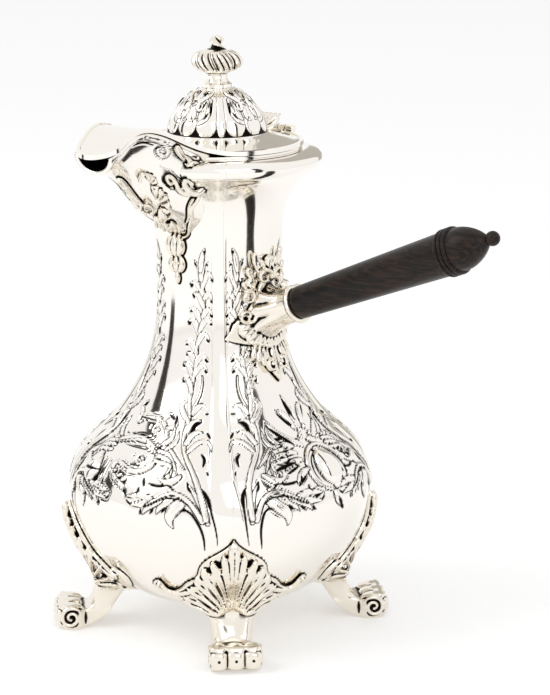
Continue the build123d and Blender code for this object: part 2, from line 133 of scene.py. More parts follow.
def turned_surface(stations):
    """Surface turned about the pot's axis: (degrees, height) to places in millimetres."""
    line = smooth_line(stations, 900)

    def place(azimuth, height):
        radius, turn = np.interp(height, line[:, 1], line[:, 0]), np.radians(azimuth)
        return np.stack([radius * np.cos(turn), radius * np.sin(turn), height + 0 * turn], -1)

    return place


def on_spout(reach, angle):
    """Place on the spout: distance from the axis, and degrees round from its right edge to its left."""
    reach = np.asarray(reach, float)
    half, low = np.interp(reach, SPOUT[:, 0], SPOUT[:, 1]), np.interp(reach, SPOUT[:, 0], SPOUT[:, 2])
    top, turn = np.interp(reach, SPOUT_EDGE[:, 0], SPOUT_EDGE[:, 1]), np.radians(angle)
    return np.stack([half * np.cos(turn), -reach + 0 * turn, top - (top - low) * np.sin(turn)], -1)


def square_to(surface, u, v):
    """Unit direction out of a surface at these places, from small steps along both of its measures."""
    step = 0.4
    across = surface(u + step, v) - surface(u - step, v)
    out = np.cross(across, surface(u, v + step) - surface(u, v - step))
    return out / np.maximum(np.linalg.norm(out, axis=-1, keepdims=True), 1e-9)


SPOUT_EDGE = smooth_line(EDGE, 400)
SPOUT = smooth_line(SPOUT, 400)
on_body = turned_surface(BODY + COLLAR)
on_dome = turned_surface(DOME)
PROFILE = smooth_line(BODY, 900)


def body_radius(height):
    return np.interp(height, PROFILE[:, 1], PROFILE[:, 0])


def handle_place(along, out, round_):
    """Places about the handle's axis: distance from the shoulder and from the axis, degrees round."""
    tilt, turn = math.radians(HANDLE_TILT), np.radians(round_)
    axis = np.array([math.cos(tilt), 0, math.sin(tilt)])
    up = np.array([-math.sin(tilt), 0, math.cos(tilt)])
    side = np.array([0, 1, 0])
    middle = np.array([SHOULDER[0], 0, SHOULDER[1]]) + np.asarray(along, float)[..., None] * axis
    return middle + (out * np.cos(turn))[..., None] * up + (out * np.sin(turn))[..., None] * side


def on_socket(along, round_):
    """Place on the ferrule and its flare: distance from the shoulder, degrees round from the top."""
    along = np.asarray(along, float)
    out = np.interp(along, [-26, -19, -10, -4, 0], [14.5, 10.0, 7.2, 7.0, 7.6])
    return handle_place(along, out, np.asarray(round_, float))


# ---------------------------------------------------------------- chasing
LEAN = -4.5  # degrees that the chased design leans round the pot between the belly and the neck
RELIEF = (45, 190)  # heights between which the body has relief


def moved(strokes, turn=0, side=1):
    """The same strokes, mirrored by side -1 and then turned this far round the pot."""
    return [
        (kind, width, [(turn + side * azimuth, height) for azimuth, height in points])
        for kind, width, points in strokes
    ]


def on_leaning_body(azimuth, height):
    """The body with the design's lean taken in."""
    return on_body(azimuth + LEAN * share(height, 50, 90), height)


# share of a stroke's full width from its root to its tip
TAPER = {
    "stem": lambda t: 1 - 0.75 * t**1.5,
    "line": lambda t: np.sin(np.pi * (0.08 + 0.84 * t)) ** 0.7,
    "leaf": lambda t: np.sin(np.pi * (0.12 + 0.86 * t) ** 0.75) ** 0.8,
    "pit": lambda t: np.sin(np.pi * (0.1 + 0.85 * t)) ** 0.6,
    "scroll": lambda t: 0.55 + 0.45 * np.sin(np.pi * t),
    "boss": lambda t: np.sin(np.pi * (0.04 + 0.92 * t)) ** 0.5,
    "lobe": lambda t: (0.32 + 0.68 * share(t, 0.1, 0.78)) * np.sqrt(np.clip((1.02 - t) / 0.14, 0, 1)),
    "vine": lambda t: 1 - 0.5 * t,
    "ring": lambda t: np.ones_like(t),
    "drop": lambda t: np.sin(np.pi * np.clip(t, 0.02, 0.98) ** 1.25) ** 0.6,
}
RISE = {"stem": 0.55, "leaf": 0.34, "scroll": 0.6, "boss": 0.3}  # height of raised strokes per width
CUT = {"line": 0.35, "pit": 0.55}  # depth of sunk strokes in millimetres
EDGE_WIDTH = 0.42  # of the dark line of painted shade and oxide round a raised stroke, where the radius is EDGE_RADIUS
EDGE_RADIUS = 60


def near_box(points, path, reach):
    """Numbers of the points inside the box that lies this far round a path."""
    low, high = path.min(0) - reach, path.max(0) + reach
    return np.flatnonzero(((points > low) & (points < high)).all(1))


def chase(points, strokes, surface):
    """Height and darkness at these points once the strokes are worked in, one after another."""
    height, dark = np.zeros(len(points)), np.zeros(len(points))
    for kind, width, places in strokes:
        line = smooth_line(places, max(6, 5 * len(places)))
        path = surface(line[:, 0], line[:, 1])
        radius = np.hypot(path[:, 0], path[:, 1]).mean()
        edge = EDGE_WIDTH * np.clip(radius / EDGE_RADIUS, 0.5, 1)
        near = near_box(points, path, width / 2 + 4 * edge)
        if not len(near):
            continue
        start, along, here = path[:-1], np.diff(path, axis=0), points[near]
        length = (along**2).sum(1)
        reached = here @ along.T - (start * along).sum(1)
        t = np.clip(reached / length, 0, 1)
        gap = (here**2).sum(1)[:, None] - 2 * here @ start.T + (start**2).sum(1)
        gap = gap - 2 * t * reached + t**2 * length
        nearest, row = gap.argmin(1), np.arange(len(near))
        gap = np.sqrt(np.clip(gap[row, nearest], 0, None))
        where = (nearest + t[row, nearest]) / len(along)
        half = width / 2 * TAPER[kind](where)
        if kind in CUT:
            cut = np.exp(-((gap / np.maximum(half, 0.05)) ** 2) * 1.4)
            height[near] -= CUT[kind] * cut
            # sunk strokes are painted dark, for the shade and oxide that lie in them
            dark[near] = np.maximum(dark[near], cut * 1.25)
            continue
        inside = gap < half
        dome = np.sqrt(1 - np.clip(gap / np.maximum(half, 1e-6), 0, 1) ** 2)
        rise = RISE[kind] * 2 * half * dome
        if kind == "leaf":
            vein = np.exp(-((gap / 0.3) ** 2)) * share(where, 0.0, 0.2) * (1 - share(where, 0.7, 0.95))
            rise = rise * (1 - 0.35 * vein)
        # the dark line round a raised stroke is painted shade and oxide in the groove at its foot
        rim = np.exp(-(((gap - half) / edge) ** 2))
        rim[inside] = np.exp(-(((half - gap)[inside] / (0.45 * edge)) ** 2))
        over, beside = 0.4 * np.maximum(height[near], 0) + rise, height[near] - 0.3 * rim
        height[near] = np.where(inside, over, beside)
        under = np.where(inside, dark[near] * (1 - dome), dark[near])
        dark[near] = np.maximum(under, rim)
    return height, dark


def half_design():
    """The chased growth on both sides of one strap, as (degrees from the strap, height)."""
    strokes = [
        # fan that rises from behind the foot's leaf
        ("line", 1.5, [(10.8, 52), (10.9, 60), (12.4, 65.5), (15, 69), (18, 69), (19.5, 67)]),
        ("pit", 2.2, [(15, 69.2), (17.5, 69.4), (19.8, 67.2)]),
        ("line", 1.1, [(5.8, 54), (5.8, 64), (6.2, 71), (7.5, 77), (9, 78), (9.2, 76)]),
        ("pit", 1.7, [(6.3, 70), (7.1, 75), (8.4, 77.6)]),
        ("leaf", 2.6, [(8.2, 64), (9.4, 71), (12.2, 77), (14.4, 80)]),
        ("pit", 1.5, [(12.6, 76.5), (13.8, 78), (14.2, 80)]),
        ("line", 0.8, [(7.4, 64), (8.4, 70), (10, 75)]),
        ("line", 0.8, [(9.6, 64.5), (11, 69), (13.2, 73.5)]),
        # great leaf that arches over and hangs in lobes
        ("leaf", 5.6, [(16.5, 72.5), (20.5, 69), (22.4, 65), (21.6, 61.6)]),
        ("leaf", 3.4, [(21, 73), (25, 70.5), (27.4, 67)]),
        ("leaf", 3.4, [(25, 72.6), (30.4, 69.6), (33.4, 66)]),
        ("leaf", 3.0, [(28, 72.2), (34.5, 70), (39, 69.2)]),
        ("leaf", 2.6, [(29, 73), (35.5, 73.4), (41, 71.6)]),
        ("stem", 2.4, [(10, 65), (13, 71.5), (17.5, 75.3), (22, 75.4), (27, 72.8), (31.5, 70)]),
        ("line", 0.9, [(12.2, 67), (15, 72), (19.5, 73.9), (24.5, 72.9), (28.4, 70.6)]),
        ("pit", 1.6, [(23.6, 69.8), (25.4, 67.6)]),
        ("pit", 1.6, [(28.6, 68.8), (30.2, 66.6)]),
        ("pit", 1.6, [(34, 67.8), (34.6, 65.6)]),
        ("pit", 1.4, [(38.6, 69), (40.6, 70.6)]),
        # long stem that swings out and back towards the neck
        ("stem", 2.6, [(8.4, 66), (9.4, 76), (12.6, 84), (17.4, 90), (20, 96.5), (19.4, 102),
                       (17, 107), (14.4, 111), (13.4, 115.5), (14, 119)]),
        ("leaf", 3.2, [(19.6, 97), (16.6, 100.6), (11, 102)]),
        ("pit", 2.2, [(16.4, 97.4), (14.6, 100.2), (11, 101.4)]),
        ("leaf", 2.6, [(18, 93), (14.6, 97), (9.4, 97.6)]),
        ("leaf", 2.2, [(16, 90.5), (11, 94), (5.4, 93.4), (4.4, 90.6)]),
        ("pit", 1.5, [(7.4, 97.6), (5.2, 95.4)]),
        ("pit", 1.9, [(9.2, 90), (7.6, 88.6), (8, 85.8)]),
        ("pit", 1.2, [(6.2, 84.2), (5.4, 82.6)]),
        ("leaf", 2.4, [(17.5, 104), (12.5, 107.6), (8.6, 107)]),
        ("pit", 1.5, [(9.4, 104.6), (7, 104.4)]),
        ("leaf", 2.6, [(19, 101), (25.6, 107.6), (21.6, 109.4)]),
    ]
    # acanthus fan between the long stem and the panel's middle
    for root, tip, fall in (
        (91.6, 84.6, 15.6), (90.0, 82.6, 18.6), (88.4, 81.2, 21.4), (86.6, 81.6, 24.6),
    ):
        bend = (22.5, (root + tip) / 2 + 0.8)
        strokes.append(("leaf", 2.2, [(31, root), (26.5, root - 0.6), bend, (fall, tip)]))
    strokes += [
        ("line", 1.2, [(24.4, 82), (22.6, 79.6), (20.6, 77.6), (18.8, 76.8)]),
        ("pit", 1.6, [(30.6, 78.4), (27, 78), (23, 78.4)]),
        ("pit", 1.5, [(33.4, 80), (32.6, 77)]),
        ("pit", 1.4, [(35, 76.4), (35.4, 73.8)]),
        ("leaf", 3.2, [(17.6, 82), (21.6, 79.8), (27, 80.8)]),
        ("leaf", 2.2, [(30, 92), (26.4, 95), (26.6, 99)]),
        ("leaf", 2.0, [(27.5, 90.5), (23.4, 94), (23.2, 97.6)]),
        # tall spray up the neck
        ("stem", 1.9, [(19.4, 104), (21.4, 111), (20.6, 119), (20, 126), (20.2, 131), (18.4, 137),
                       (16, 143), (14, 149), (13.4, 153.6), (15.4, 157.4)]),
    ]
    for root, bend, tip in (
        ((20.4, 112), (25, 117), (30, 117.6)), ((20.6, 117), (27, 123), (32, 124)),
        ((20.2, 124), (26.6, 128), (30, 128.4)), ((20.2, 128), (26, 132.8), (31.6, 132.6)),
        ((18.6, 136), (24.4, 142), (30.4, 141.4)), ((17, 141), (23, 146.6), (28.6, 147.2)),
        ((14.6, 148), (20, 153.6), (25.6, 153.4)), ((14, 153), (21, 158.4), (28.4, 158)),
        ((15.4, 157), (18.6, 165), (23, 168.6)), ((20.4, 119), (15.4, 123.6), (10, 121.4)),
        ((20.2, 123), (15.6, 127.4), (9.6, 126)), ((19.8, 132), (14.6, 136.4), (8.6, 134)),
        ((18, 138), (12, 142.6), (6.4, 141.6)), ((15.4, 144), (10.6, 147), (6, 144.8)),
        ((13.6, 152), (9, 153.6), (6.4, 151)), ((15.4, 157), (9.6, 162.8), (5.2, 160.4)),
        ((16.4, 160), (14.4, 167), (10, 167.8)), ((17, 164), (14.6, 171.6), (12.4, 174)),
    ):
        strokes.append(("leaf", 2.5, [root, bend, tip]))
        dip = (0.45 * bend[0] + 0.55 * tip[0], 0.45 * bend[1] + 0.55 * tip[1] - 1.1)
        strokes.append(("pit", 1.5, [dip, (tip[0], tip[1] - 1.0)]))
    return [part for row in strokes for side in (1, -1) for part in moved([row], side=side)]


def cartouche():
    """Two C-scrolls round beaded fields in the middle of a panel, with a shell boss beside them."""
    strokes = [
        ("boss", 10, [(-18.4, 70), (-18.4, 84)]),
        ("line", 1.5, [(-13.4, 84), (-13.2, 79), (-14.6, 74), (-18, 69.6), (-21.6, 66.6),
                       (-22.6, 63.6)]),
        ("scroll", 2.5, [(-6, 98.6), (-8.6, 98.2), (-9.4, 100), (-5, 101), (2, 101.2), (9, 100.2),
                         (13.4, 97.6), (15.4, 94), (14, 91.6), (11.6, 92)]),
        ("scroll", 2.5, [(12, 89.6), (14.4, 87.4), (13.2, 84.4), (10, 82.4), (5, 81.8), (0, 82.8),
                         (-3.6, 83.6), (-5.8, 82.4), (-5.4, 80.2), (-3.6, 80.6)]),
        ("leaf", 3.4, [(-14, 90), (-4, 92.4), (6, 92.2), (13, 90.4)]),
        ("line", 0.9, [(-12, 93.4), (-2, 94.2), (6, 93.8), (12, 92)]),
        ("line", 0.9, [(-12, 90), (0, 89.8), (8, 89.4), (12, 88.6)]),
    ]
    for bead in ((6.6, 97), (6, 86.4)):
        strokes.append(("scroll", 3.6, [bead, (bead[0] + 1.6, bead[1])]))
        strokes.append(("pit", 1.7, [(bead[0] + 0.4, bead[1]), (bead[0] + 1.4, bead[1] - 0.3)]))
        strokes.append(("pit", 0.9, [(bead[0] - 4.4, bead[1] + 0.6), (bead[0] - 3.6, bead[1] + 0.6)]))
        strokes.append(("pit", 0.8, [(bead[0] + 3.8, bead[1] - 1.8), (bead[0] + 4.6, bead[1] - 1.8)]))
    for root, bend, tip in (
        ((-6, 80), (-2, 77.6), (0.4, 79)), ((-4, 79), (1.4, 76.6), (3.2, 78)),
        ((-1, 77), (3, 74.8), (4, 72.6)), ((10, 101), (13, 103), (16.4, 101.6)),
        ((14, 98), (18.4, 99.6), (17.4, 103)), ((-8, 101), (-12, 104), (-9, 106)),
    ):
        strokes.append(("leaf", 2.4, [root, bend, tip]))
        strokes.append(("pit", 1.4, [bend, tip]))
    for turn in (-12.6, -11, -9.4):
        strokes.append(("line", 0.7, [(turn, 76), (turn + 0.6, 84)]))
    return strokes


def shell_boss():
    """Oval shell boss in a moulded frame, under a posy, in the middle of a panel."""
    strokes = [
        ("boss", 13, [(4.5, 74), (4.5, 87)]),
        ("scroll", 2.0, [(1, 72), (-4.4, 75), (-6.4, 80), (-4, 85.6), (3, 89), (10, 88), (14.4, 84),
                         (15.4, 79), (12.6, 74), (9, 72.4)]),
        ("line", 0.9, [(-2.6, 76), (-4, 80), (-2, 84.6), (3, 87.2)]),
    ]
    for turn, height in (
        (-3, 91.6), (0.6, 93), (4.4, 91.2), (8, 93), (11.6, 91.4), (2.2, 95.4), (7, 95.8),
    ):
        strokes.append(("scroll", 3.0, [(turn - 0.5, height), (turn + 0.5, height)]))
        strokes.append(("pit", 0.9, [(turn - 0.2, height), (turn + 0.2, height)]))
    for root, bend, tip in (
        ((-2, 90), (-10, 94), (-18, 100)), ((-8, 90.4), (-13, 91.4), (-18.6, 90.4)),
        ((-8, 88), (-13, 88.4), (-18.4, 86.4)), ((-7.4, 85.6), (-12.6, 85), (-17.4, 82.6)),
        ((-7, 82), (-11, 80.4), (-14.4, 77.6)), ((10, 92), (18, 96), (24, 100)),
        ((15, 90), (20, 91), (25.6, 89.6)), ((16, 86), (21, 85.4), (25.6, 82.6)),
        ((-4, 73), (-9, 73), (-12.6, 70.6)), ((12, 72), (16.6, 72.6), (20, 70)),
        ((0, 96), (-3.4, 102), (-8, 104)), ((8, 97), (12, 103), (17, 104.4)),
        ((2, 97), (3.4, 104), (1, 109)), ((2, 71), (2, 67), (4.6, 63.4)),
    ):
        strokes.append(("leaf", 3.0, [root, bend, tip]))
        dip = ((root[0] + bend[0]) / 2, (root[1] + bend[1]) / 2 - 1.6)
        strokes.append(("pit", 1.6, [dip, (tip[0], tip[1] - 1.2)]))
    for height in (93.4, 88.8, 84.4):
        strokes.append(("pit", 2.6, [(-21, height - 1), (-16, height), (-11.4, height + 0.4)]))
    strokes.append(("pit", 1.9, [(2.4, 68.6), (4, 66), (3.6, 62.6)]))
    return strokes


def strap_height(azimuth, height, centre, proud):
    """How far the smooth strap over one foot stands out of the body."""
    half = 5.6 + 1.2 * share(height, 100, 140)
    away = np.abs(azimuth - centre - LEAN * share(height, 50, 90)) / half
    rise = proud * np.sqrt(np.clip(1 - away**2, 0, 1))
    return rise * share(height, 48, 60) * (1 - share(height, 168, 188))


def quarter_relief(points, azimuth, middle, proud):
    """Height and darkness of the chasing on the outside of the quarter whose panel faces +X."""
    radius, level = np.hypot(points[:, 0], points[:, 1]), points[:, 2]
    outside = (radius > body_radius(level) - 0.5) & (level > RELIEF[0]) & (level < RELIEF[1])
    azimuth, level = azimuth[outside], level[outside]
    straps = (-45, 45)
    design = middle + [stroke for centre in straps for stroke in moved(half_design(), centre)]
    height, dark = chase(points[outside], design, on_leaning_body)
    for centre in straps:
        rise = strap_height(azimuth, level, centre, proud)
        height = np.where(rise > 0, np.maximum(height, 0) * (rise < 0.3) + rise, height)
    relief = np.zeros((2, len(points)))
    relief[:, outside] = height, np.clip(dark, 0, 1)
    return relief


# ---------------------------------------------------------------- finishes
def srgb(code):
    """Linear colour from a hex value, the one place where colours are converted."""
    parts = [int(code[i:i + 2], 16) / 255 for i in (1, 3, 5)]
    return tuple([c / 12.92 if c <= 0.04045 else ((c + 0.055) / 1.055) ** 2.4 for c in parts] + [1.0])


def add(tree, kind, links=(), **settings):
    """Adds a node with its settings, plain socket values and (socket, source) links."""
    node = tree.nodes.new(kind)
    for name, value in settings.items():
        if hasattr(node, name):
            setattr(node, name, value)
        else:
            node.inputs[name.replace("_", " ")].default_value = value
    for socket, source in links:
        tree.links.new(source, node.inputs[socket])
    return node


def new_material(name):
    material = bpy.data.materials.new(name)
    material.use_nodes = True
    material.node_tree.nodes.clear()
    return material, material.node_tree


def silver(name, metal, oxide_and_shade, rough, ripple, swirl_size):
    """Sterling silver: polished where the hand reaches, black in the recesses with oxide and painted
    shade.
    """
    material, tree = new_material(name)
    place = add(tree, "ShaderNodeTexCoord").outputs["Object"]
    # the planisher's hammer leaves facets about 7 mm across that the polish never quite takes out
    facets = add(tree, "ShaderNodeTexNoise", [("Vector", place)], Scale=1 / (7 * MM), Detail=1.0)
    # fine swirls from years of polishing cloths, drawn as coarse as they need to show
    swirl = add(tree, "ShaderNodeTexNoise", [("Vector", place)], Scale=1 / swirl_size, Detail=2.0)
    worked = add(tree, "ShaderNodeBump", [("Height", facets.outputs[0])],
                 Strength=ripple, Distance=0.5 * MM)
    bump = add(tree, "ShaderNodeBump", [("Height", swirl.outputs[0]), ("Normal", worked.outputs[0])],
               Strength=0.04, Distance=0.05 * MM)
    # this attribute holds the oxide of the recesses together with painted shade in recesses, creases,
    # the spout's throat and round ornaments
    recess = add(tree, "ShaderNodeAttribute", attribute_name="oxide_and_shade")
    # the oxide and painted shade end in a broken edge where the cloth has caught the high metal
    broken = add(tree, "ShaderNodeMapRange", [("Value", swirl.outputs[0])], To_Min=-0.15, To_Max=0.15)
    edge = add(tree, "ShaderNodeMath", [(0, recess.outputs["Fac"]), (1, broken.outputs[0])],
               operation="ADD")
    depth = add(tree, "ShaderNodeMapRange", [("Value", edge.outputs[0])], From_Min=0.25, From_Max=0.75)
    colour = add(tree, "ShaderNodeValToRGB", [("Fac", depth.outputs[0])])
    colour.color_ramp.elements[0].color = metal
    colour.color_ramp.elements[1].color = oxide_and_shade
    gloss = add(tree, "ShaderNodeMapRange", [("Value", depth.outputs[0])], To_Min=rough, To_Max=0.5)
    shader = add(tree, "ShaderNodeBsdfPrincipled", [
        ("Base Color", colour.outputs[0]),
        ("Roughness", gloss.outputs[0]),
        ("Normal", bump.outputs[0]),
    ], Metallic=1.0)
    add(tree, "ShaderNodeOutputMaterial", [("Surface", shader.outputs[0])])
    return material


def ebony(name, heart, streaks, rough):
    """Oiled ebony: almost black heartwood with brown streaks and fine open pores along the grain."""
    material, tree = new_material(name)
    place = add(tree, "ShaderNodeTexCoord").outputs["Object"]
    # the grain runs twenty times as long as it is wide, along the tilted handle
    along = add(tree, "ShaderNodeMapping", [("Vector", place)])
    along.inputs["Rotation"].default_value = (0, math.radians(HANDLE_TILT), 0)
    along.inputs["Scale"].default_value = (0.05, 1, 1)
    grain = add(tree, "ShaderNodeTexNoise", [("Vector", along.outputs[0])],
                Scale=1 / (1.1 * MM), Detail=4.0)
    pores = add(tree, "ShaderNodeTexNoise", [("Vector", along.outputs[0])],
                Scale=1 / (0.5 * MM), Detail=1.0)
    streak = add(tree, "ShaderNodeValToRGB", [("Fac", grain.outputs[0])])
    streak.color_ramp.elements[0].position = 0.42
    streak.color_ramp.elements[0].color = heart
    streak.color_ramp.elements[1].position = 0.72
    streak.color_ramp.elements[1].color = streaks
    bump = add(tree, "ShaderNodeBump", [("Height", pores.outputs[0])],
               Strength=0.25, Distance=0.15 * MM)
    shader = add(tree, "ShaderNodeBsdfPrincipled", [
        ("Base Color", streak.outputs[0]),
        ("Normal", bump.outputs[0]),
    ], Roughness=rough, IOR=1.5)
    shader.inputs["Specular IOR Level"].default_value = 0.22
    add(tree, "ShaderNodeOutputMaterial", [("Surface", shader.outputs[0])])
    return material


# (material, roughness, strength of the hammer's facets) of each of the record's slots
FINISHES = {
    "ebony": ("oiled_ebony", 0.36, 0.0),
    "cast_silver": ("sterling_cast_and_chased", 0.17, 0.02),
    "drawn_silver": ("sterling_drawn_wire", 0.12, 0.0),
    "polished_silver": ("sterling_hand_polished", 0.09, 0.05),
}


def finish(slot):
    """The finish of one of the record's slots, made when it is first asked for."""
    name, rough, ripple = FINISHES[slot]
    made = bpy.data.materials.get(name)
    if made:
        return made
    tone = bpy.context.scene.pot_finishes
    if slot == "ebony":
        return ebony(name, tuple(tone.ebony), tuple(tone.ebony_streak), rough)
    metal = tuple(tone.cast if slot == "cast_silver" else tone.silver)
    return silver(name, metal, tuple(tone.oxide_and_shade), rough, ripple, tone.swirl)


# ---------------------------------------------------------------- making pieces
def places_of(bm):
    return np.array([v.co for v in bm.verts])


def put(verts, places):
    """Moves these vertices of a bmesh to these places."""
    for vert, place in zip(verts, places):
        vert.co = place


def grid(columns, rows):
    """New flat grid, with the two shares across it of each of its vertices."""
    bm = bmesh.new()
    bmesh.ops.create_grid(bm, x_segments=columns, y_segments=rows, size=0.5)
    return bm, *(places_of(bm)[:, :2] + 0.5).T


def form(bm, places):
    """Sends a grid to its places and closes its seams and poles."""
    put(bm.verts, places)
    bmesh.ops.remove_doubles(bm, verts=bm.verts, dist=1e-3)


def sheet(columns, rows, place):
    """Grid formed by a function of its two shares."""
    bm, u, v = grid(columns, rows)
    form(bm, place(u, v))
    return bm


def join(bm, part):
    """Adds one closed form to a pattern."""
    mesh = bpy.data.meshes.new("part")
    part.to_mesh(mesh)
    part.free()
    bm.from_mesh(mesh)
    bpy.data.meshes.remove(mesh)


SWEEP_SIDES = 12  # round a strip


def sweep(bm, line, out, width, thick, kind, vein=0.0):
    """Adds a closed strip along a line: a ball drawn out to width and thickness, with a sunk vein."""
    rings = int(np.clip(3 * len(line), 12, 90))
    ball = bmesh.new()
    bmesh.ops.create_uvsphere(ball, u_segments=SWEEP_SIDES, v_segments=rings, radius=1)
    at = places_of(ball)
    flat = np.hypot(at[:, 0], at[:, 1])
    across, over = at[:, 0] / np.maximum(flat, 1e-6), at[:, 1] / np.maximum(flat, 1e-6)
    pole = flat < 1e-4
    t = np.arccos(np.clip(at[:, 2], -1, 1)) / np.pi
    ends = np.sqrt(np.clip(np.minimum(t, 1 - t) * 14, 0, 1)) * ~pole
    steps = np.linspace(0, 1, len(line))
    along = np.gradient(line, axis=0)
    middle, up, ahead = [
        np.stack([np.interp(t, steps, track[:, k]) for k in range(3)], -1)
        for track in (line, out, along)
    ]
    side = np.cross(ahead, up)
    side /= np.maximum(np.linalg.norm(side, axis=1, keepdims=True), 1e-9)
    size = TAPER[kind](t) * ends
    lift = np.where(over > 0, over * (1 - vein * np.exp(-((across / 0.32) ** 2))), 0.6 * over)
    spread, swell = (across * size * width / 2)[:, None], (lift * thick * size**0.6)[:, None]
    put(ball.verts, middle + side * spread + up * swell)
    join(bm, ball)


def lay(bm, surface, kind, width, thick, points, proud=0.0, vein=0.0):
    """Lays a strip on a surface along a few of its own coordinates, its middle this far out."""
    line = smooth_line(points, max(5, 4 * len(points)))
    out = square_to(surface, line[:, 0], line[:, 1])
    sweep(bm, surface(line[:, 0], line[:, 1]) + proud * out, out, width, thick, kind, vein)


def lay_all(bm, surface, strips):
    """Lays strips given as (kind, width, thickness, points, how far out, depth of the vein)."""
    for strip in strips:
        lay(bm, surface, *strip)


def sided(points, side):
    """Points of one side, or with side -1 their mirror image."""
    return [(side * x, z) for x, z in points]


CURL_POINTS = 9  # in one turn of a scroll


def curl(centre, radius, start, turns, inner):
    """Points of a scroll that winds inwards to this share of its radius, in a surface's measures."""
    t = np.linspace(0, 1, max(CURL_POINTS, int(CURL_POINTS * abs(turns))))
    angle = np.radians(start + 360 * turns * t)
    out = radius * (1 - (1 - inner) * t)
    return [(centre[0] + r * math.cos(a), centre[1] + r * math.sin(a)) for r, a in zip(out, angle)]


def add_node(bm, name, turn=0.0):
    """Adds a merged copy of a construction node, in millimetres and turned about the pot's axis."""
    before = len(bm.verts)
    bm.from_mesh(NODES[name].data)
    bm.verts.ensure_lookup_table()
    bmesh.ops.remove_doubles(bm, verts=bm.verts[before:], dist=1e-6)
    bm.verts.ensure_lookup_table()
    copied = bm.verts[before:]
    bmesh.ops.scale(bm, vec=(1 / MM, 1 / MM, 1 / MM), verts=copied)
    bmesh.ops.rotate(bm, verts=copied, matrix=Matrix.Rotation(math.radians(turn), 3, "Z"))


def read_places(mesh):
    flat = np.zeros(len(mesh.vertices) * 3)
    mesh.vertices.foreach_get("co", flat)
    return flat.reshape(-1, 3)


def write_places(mesh, places):
    mesh.vertices.foreach_set("co", places.astype(np.float32).ravel())
    mesh.update()


def edge_ends(mesh):
    ends = np.zeros(len(mesh.edges) * 2, np.int32)
    mesh.edges.foreach_get("vertices", ends)
    return ends.reshape(-1, 2)


def neighbours_mean(places, ends, rounds):
    """Each place moved this often to the mean of its neighbours."""
    count = np.bincount(ends.ravel(), minlength=len(places))[:, None]
    for _ in range(rounds):
        sums = [np.bincount(ends[:, 0], places[ends[:, 1], k], len(places))
                + np.bincount(ends[:, 1], places[ends[:, 0], k], len(places)) for k in range(3)]
        places = np.stack(sums, -1) / np.maximum(count, 1)
    return places


def hollows(mesh, low, high, rounds=5):
    """Darkness from 0 to 1 of each vertex, by how deep it lies in a small or a large hollow."""
    places, ends = read_places(mesh), edge_ends(mesh)
    normals = np.zeros(len(places) * 3)
    mesh.vertex_normals.foreach_get("vector", normals)
    normals = normals.reshape(-1, 3)
    close = neighbours_mean(places, ends, rounds)
    wide = neighbours_mean(close, ends, 4 * rounds)
    # painted shade and oxide together: darker the deeper a vertex lies in a small hollow, or in a large
    # one such as a fillet between parts
    small, large = ((close - places) * normals).sum(1), ((wide - places) * normals).sum(1)
    return np.maximum(share(small, low, high), 0.9 * share(large, 3 * low, 3 * high))


def set_oxide_and_shade(mesh, dark):
    layer = mesh.attributes.get("oxide_and_shade") or mesh.attributes.new("oxide_and_shade", "FLOAT", "POINT")
    layer.data.foreach_set("value", dark.astype(np.float32))


def read_oxide_and_shade(mesh):
    dark = np.zeros(len(mesh.vertices), np.float32)
    mesh.attributes["oxide_and_shade"].data.foreach_get("value", dark)
    return dark


def shade_under(name, ornaments, reach):
    """Blackens a piece's metal within this reach, in millimetres, of the ornaments that sit on it."""
    mesh = bpy.data.objects[name].data
    places, dark = read_places(mesh) / MM, read_oxide_and_shade(mesh)
    for ornament in ornaments:
        sitting = read_places(bpy.data.objects[ornament].data) / MM
        near = near_box(places, sitting, reach)
        near = near[dark[near] < 1]
        tree = KDTree(len(sitting))
        for i, place in enumerate(sitting):
            tree.insert(place, i)
        tree.balance()
        away = np.array([tree.find(place)[2] for place in places[near]])
        dark[near] = np.maximum(dark[near], 1 - share(away, 0.45 * reach, reach))
    set_oxide_and_shade(mesh, dark)


def to_mesh(name, bm, outwards=True):
    """Mesh from a bmesh in millimetres, its faces turned outwards where that is asked."""
    if outwards:
        bmesh.ops.recalc_face_normals(bm, faces=bm.faces)
        if bm.calc_volume(signed=True) < 0:
            bmesh.ops.reverse_faces(bm, faces=bm.faces)
    mesh = bpy.data.meshes.new(name)
    bm.to_mesh(mesh)
    bm.free()
    return mesh


def link(name, data):
    """New object in the scene."""
    made = bpy.data.objects.new(name, data)
    bpy.context.scene.collection.objects.link(made)
    return made


def cast(name, bm, grain, ease=2, low=0.02, high=0.11):
    """One clean casting out of closed forms that overlap: fused, eased and darkened in its hollows."""
    pattern = link(name, to_mesh(name + "_pattern", bm, False))
    fuse = pattern.modifiers.new("fuse", "REMESH")
    fuse.mode = "VOXEL"
    fuse.voxel_size = grain / MM
    mesh = bpy.data.meshes.new_from_object(pattern.evaluated_get(bpy.context.evaluated_depsgraph_get()))
    mesh.name = name
    bpy.data.meshes.remove(pattern.data)
    write_places(mesh, neighbours_mean(read_places(mesh), edge_ends(mesh), ease))
    set_oxide_and_shade(mesh, hollows(mesh, low, high))
    return mesh


def new_piece(name, mesh, body, slot, replaced=(), angle=None):
    """Piece from a mesh in millimetres: smooth, finished and riding on its body."""
    write_places(mesh, read_places(mesh) * MM)
    mesh.shade_smooth()
    if angle is not None:
        mesh.set_sharp_from_angle(angle=math.radians(angle))
    piece = link(name, mesh)
    mesh.materials.clear()
    mesh.materials.append(finish(slot))
    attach(piece, body)
    if replaced:
        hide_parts(*replaced)


# ---------------------------------------------------------------- body
COLUMNS = 252
DISC = 3.02  # radius of the disc that closes the base between the quarters
FINE = (50, 180)  # heights between which the wall is fine enough for chasing
FINE_STEP, PLAIN_STEP = 0.52, 1.5  # millimetres between two rows of the wall's outside
QUARTERS = {"right": 0, "back": 90, "left": 180, "front": 270}  # degrees that each faces


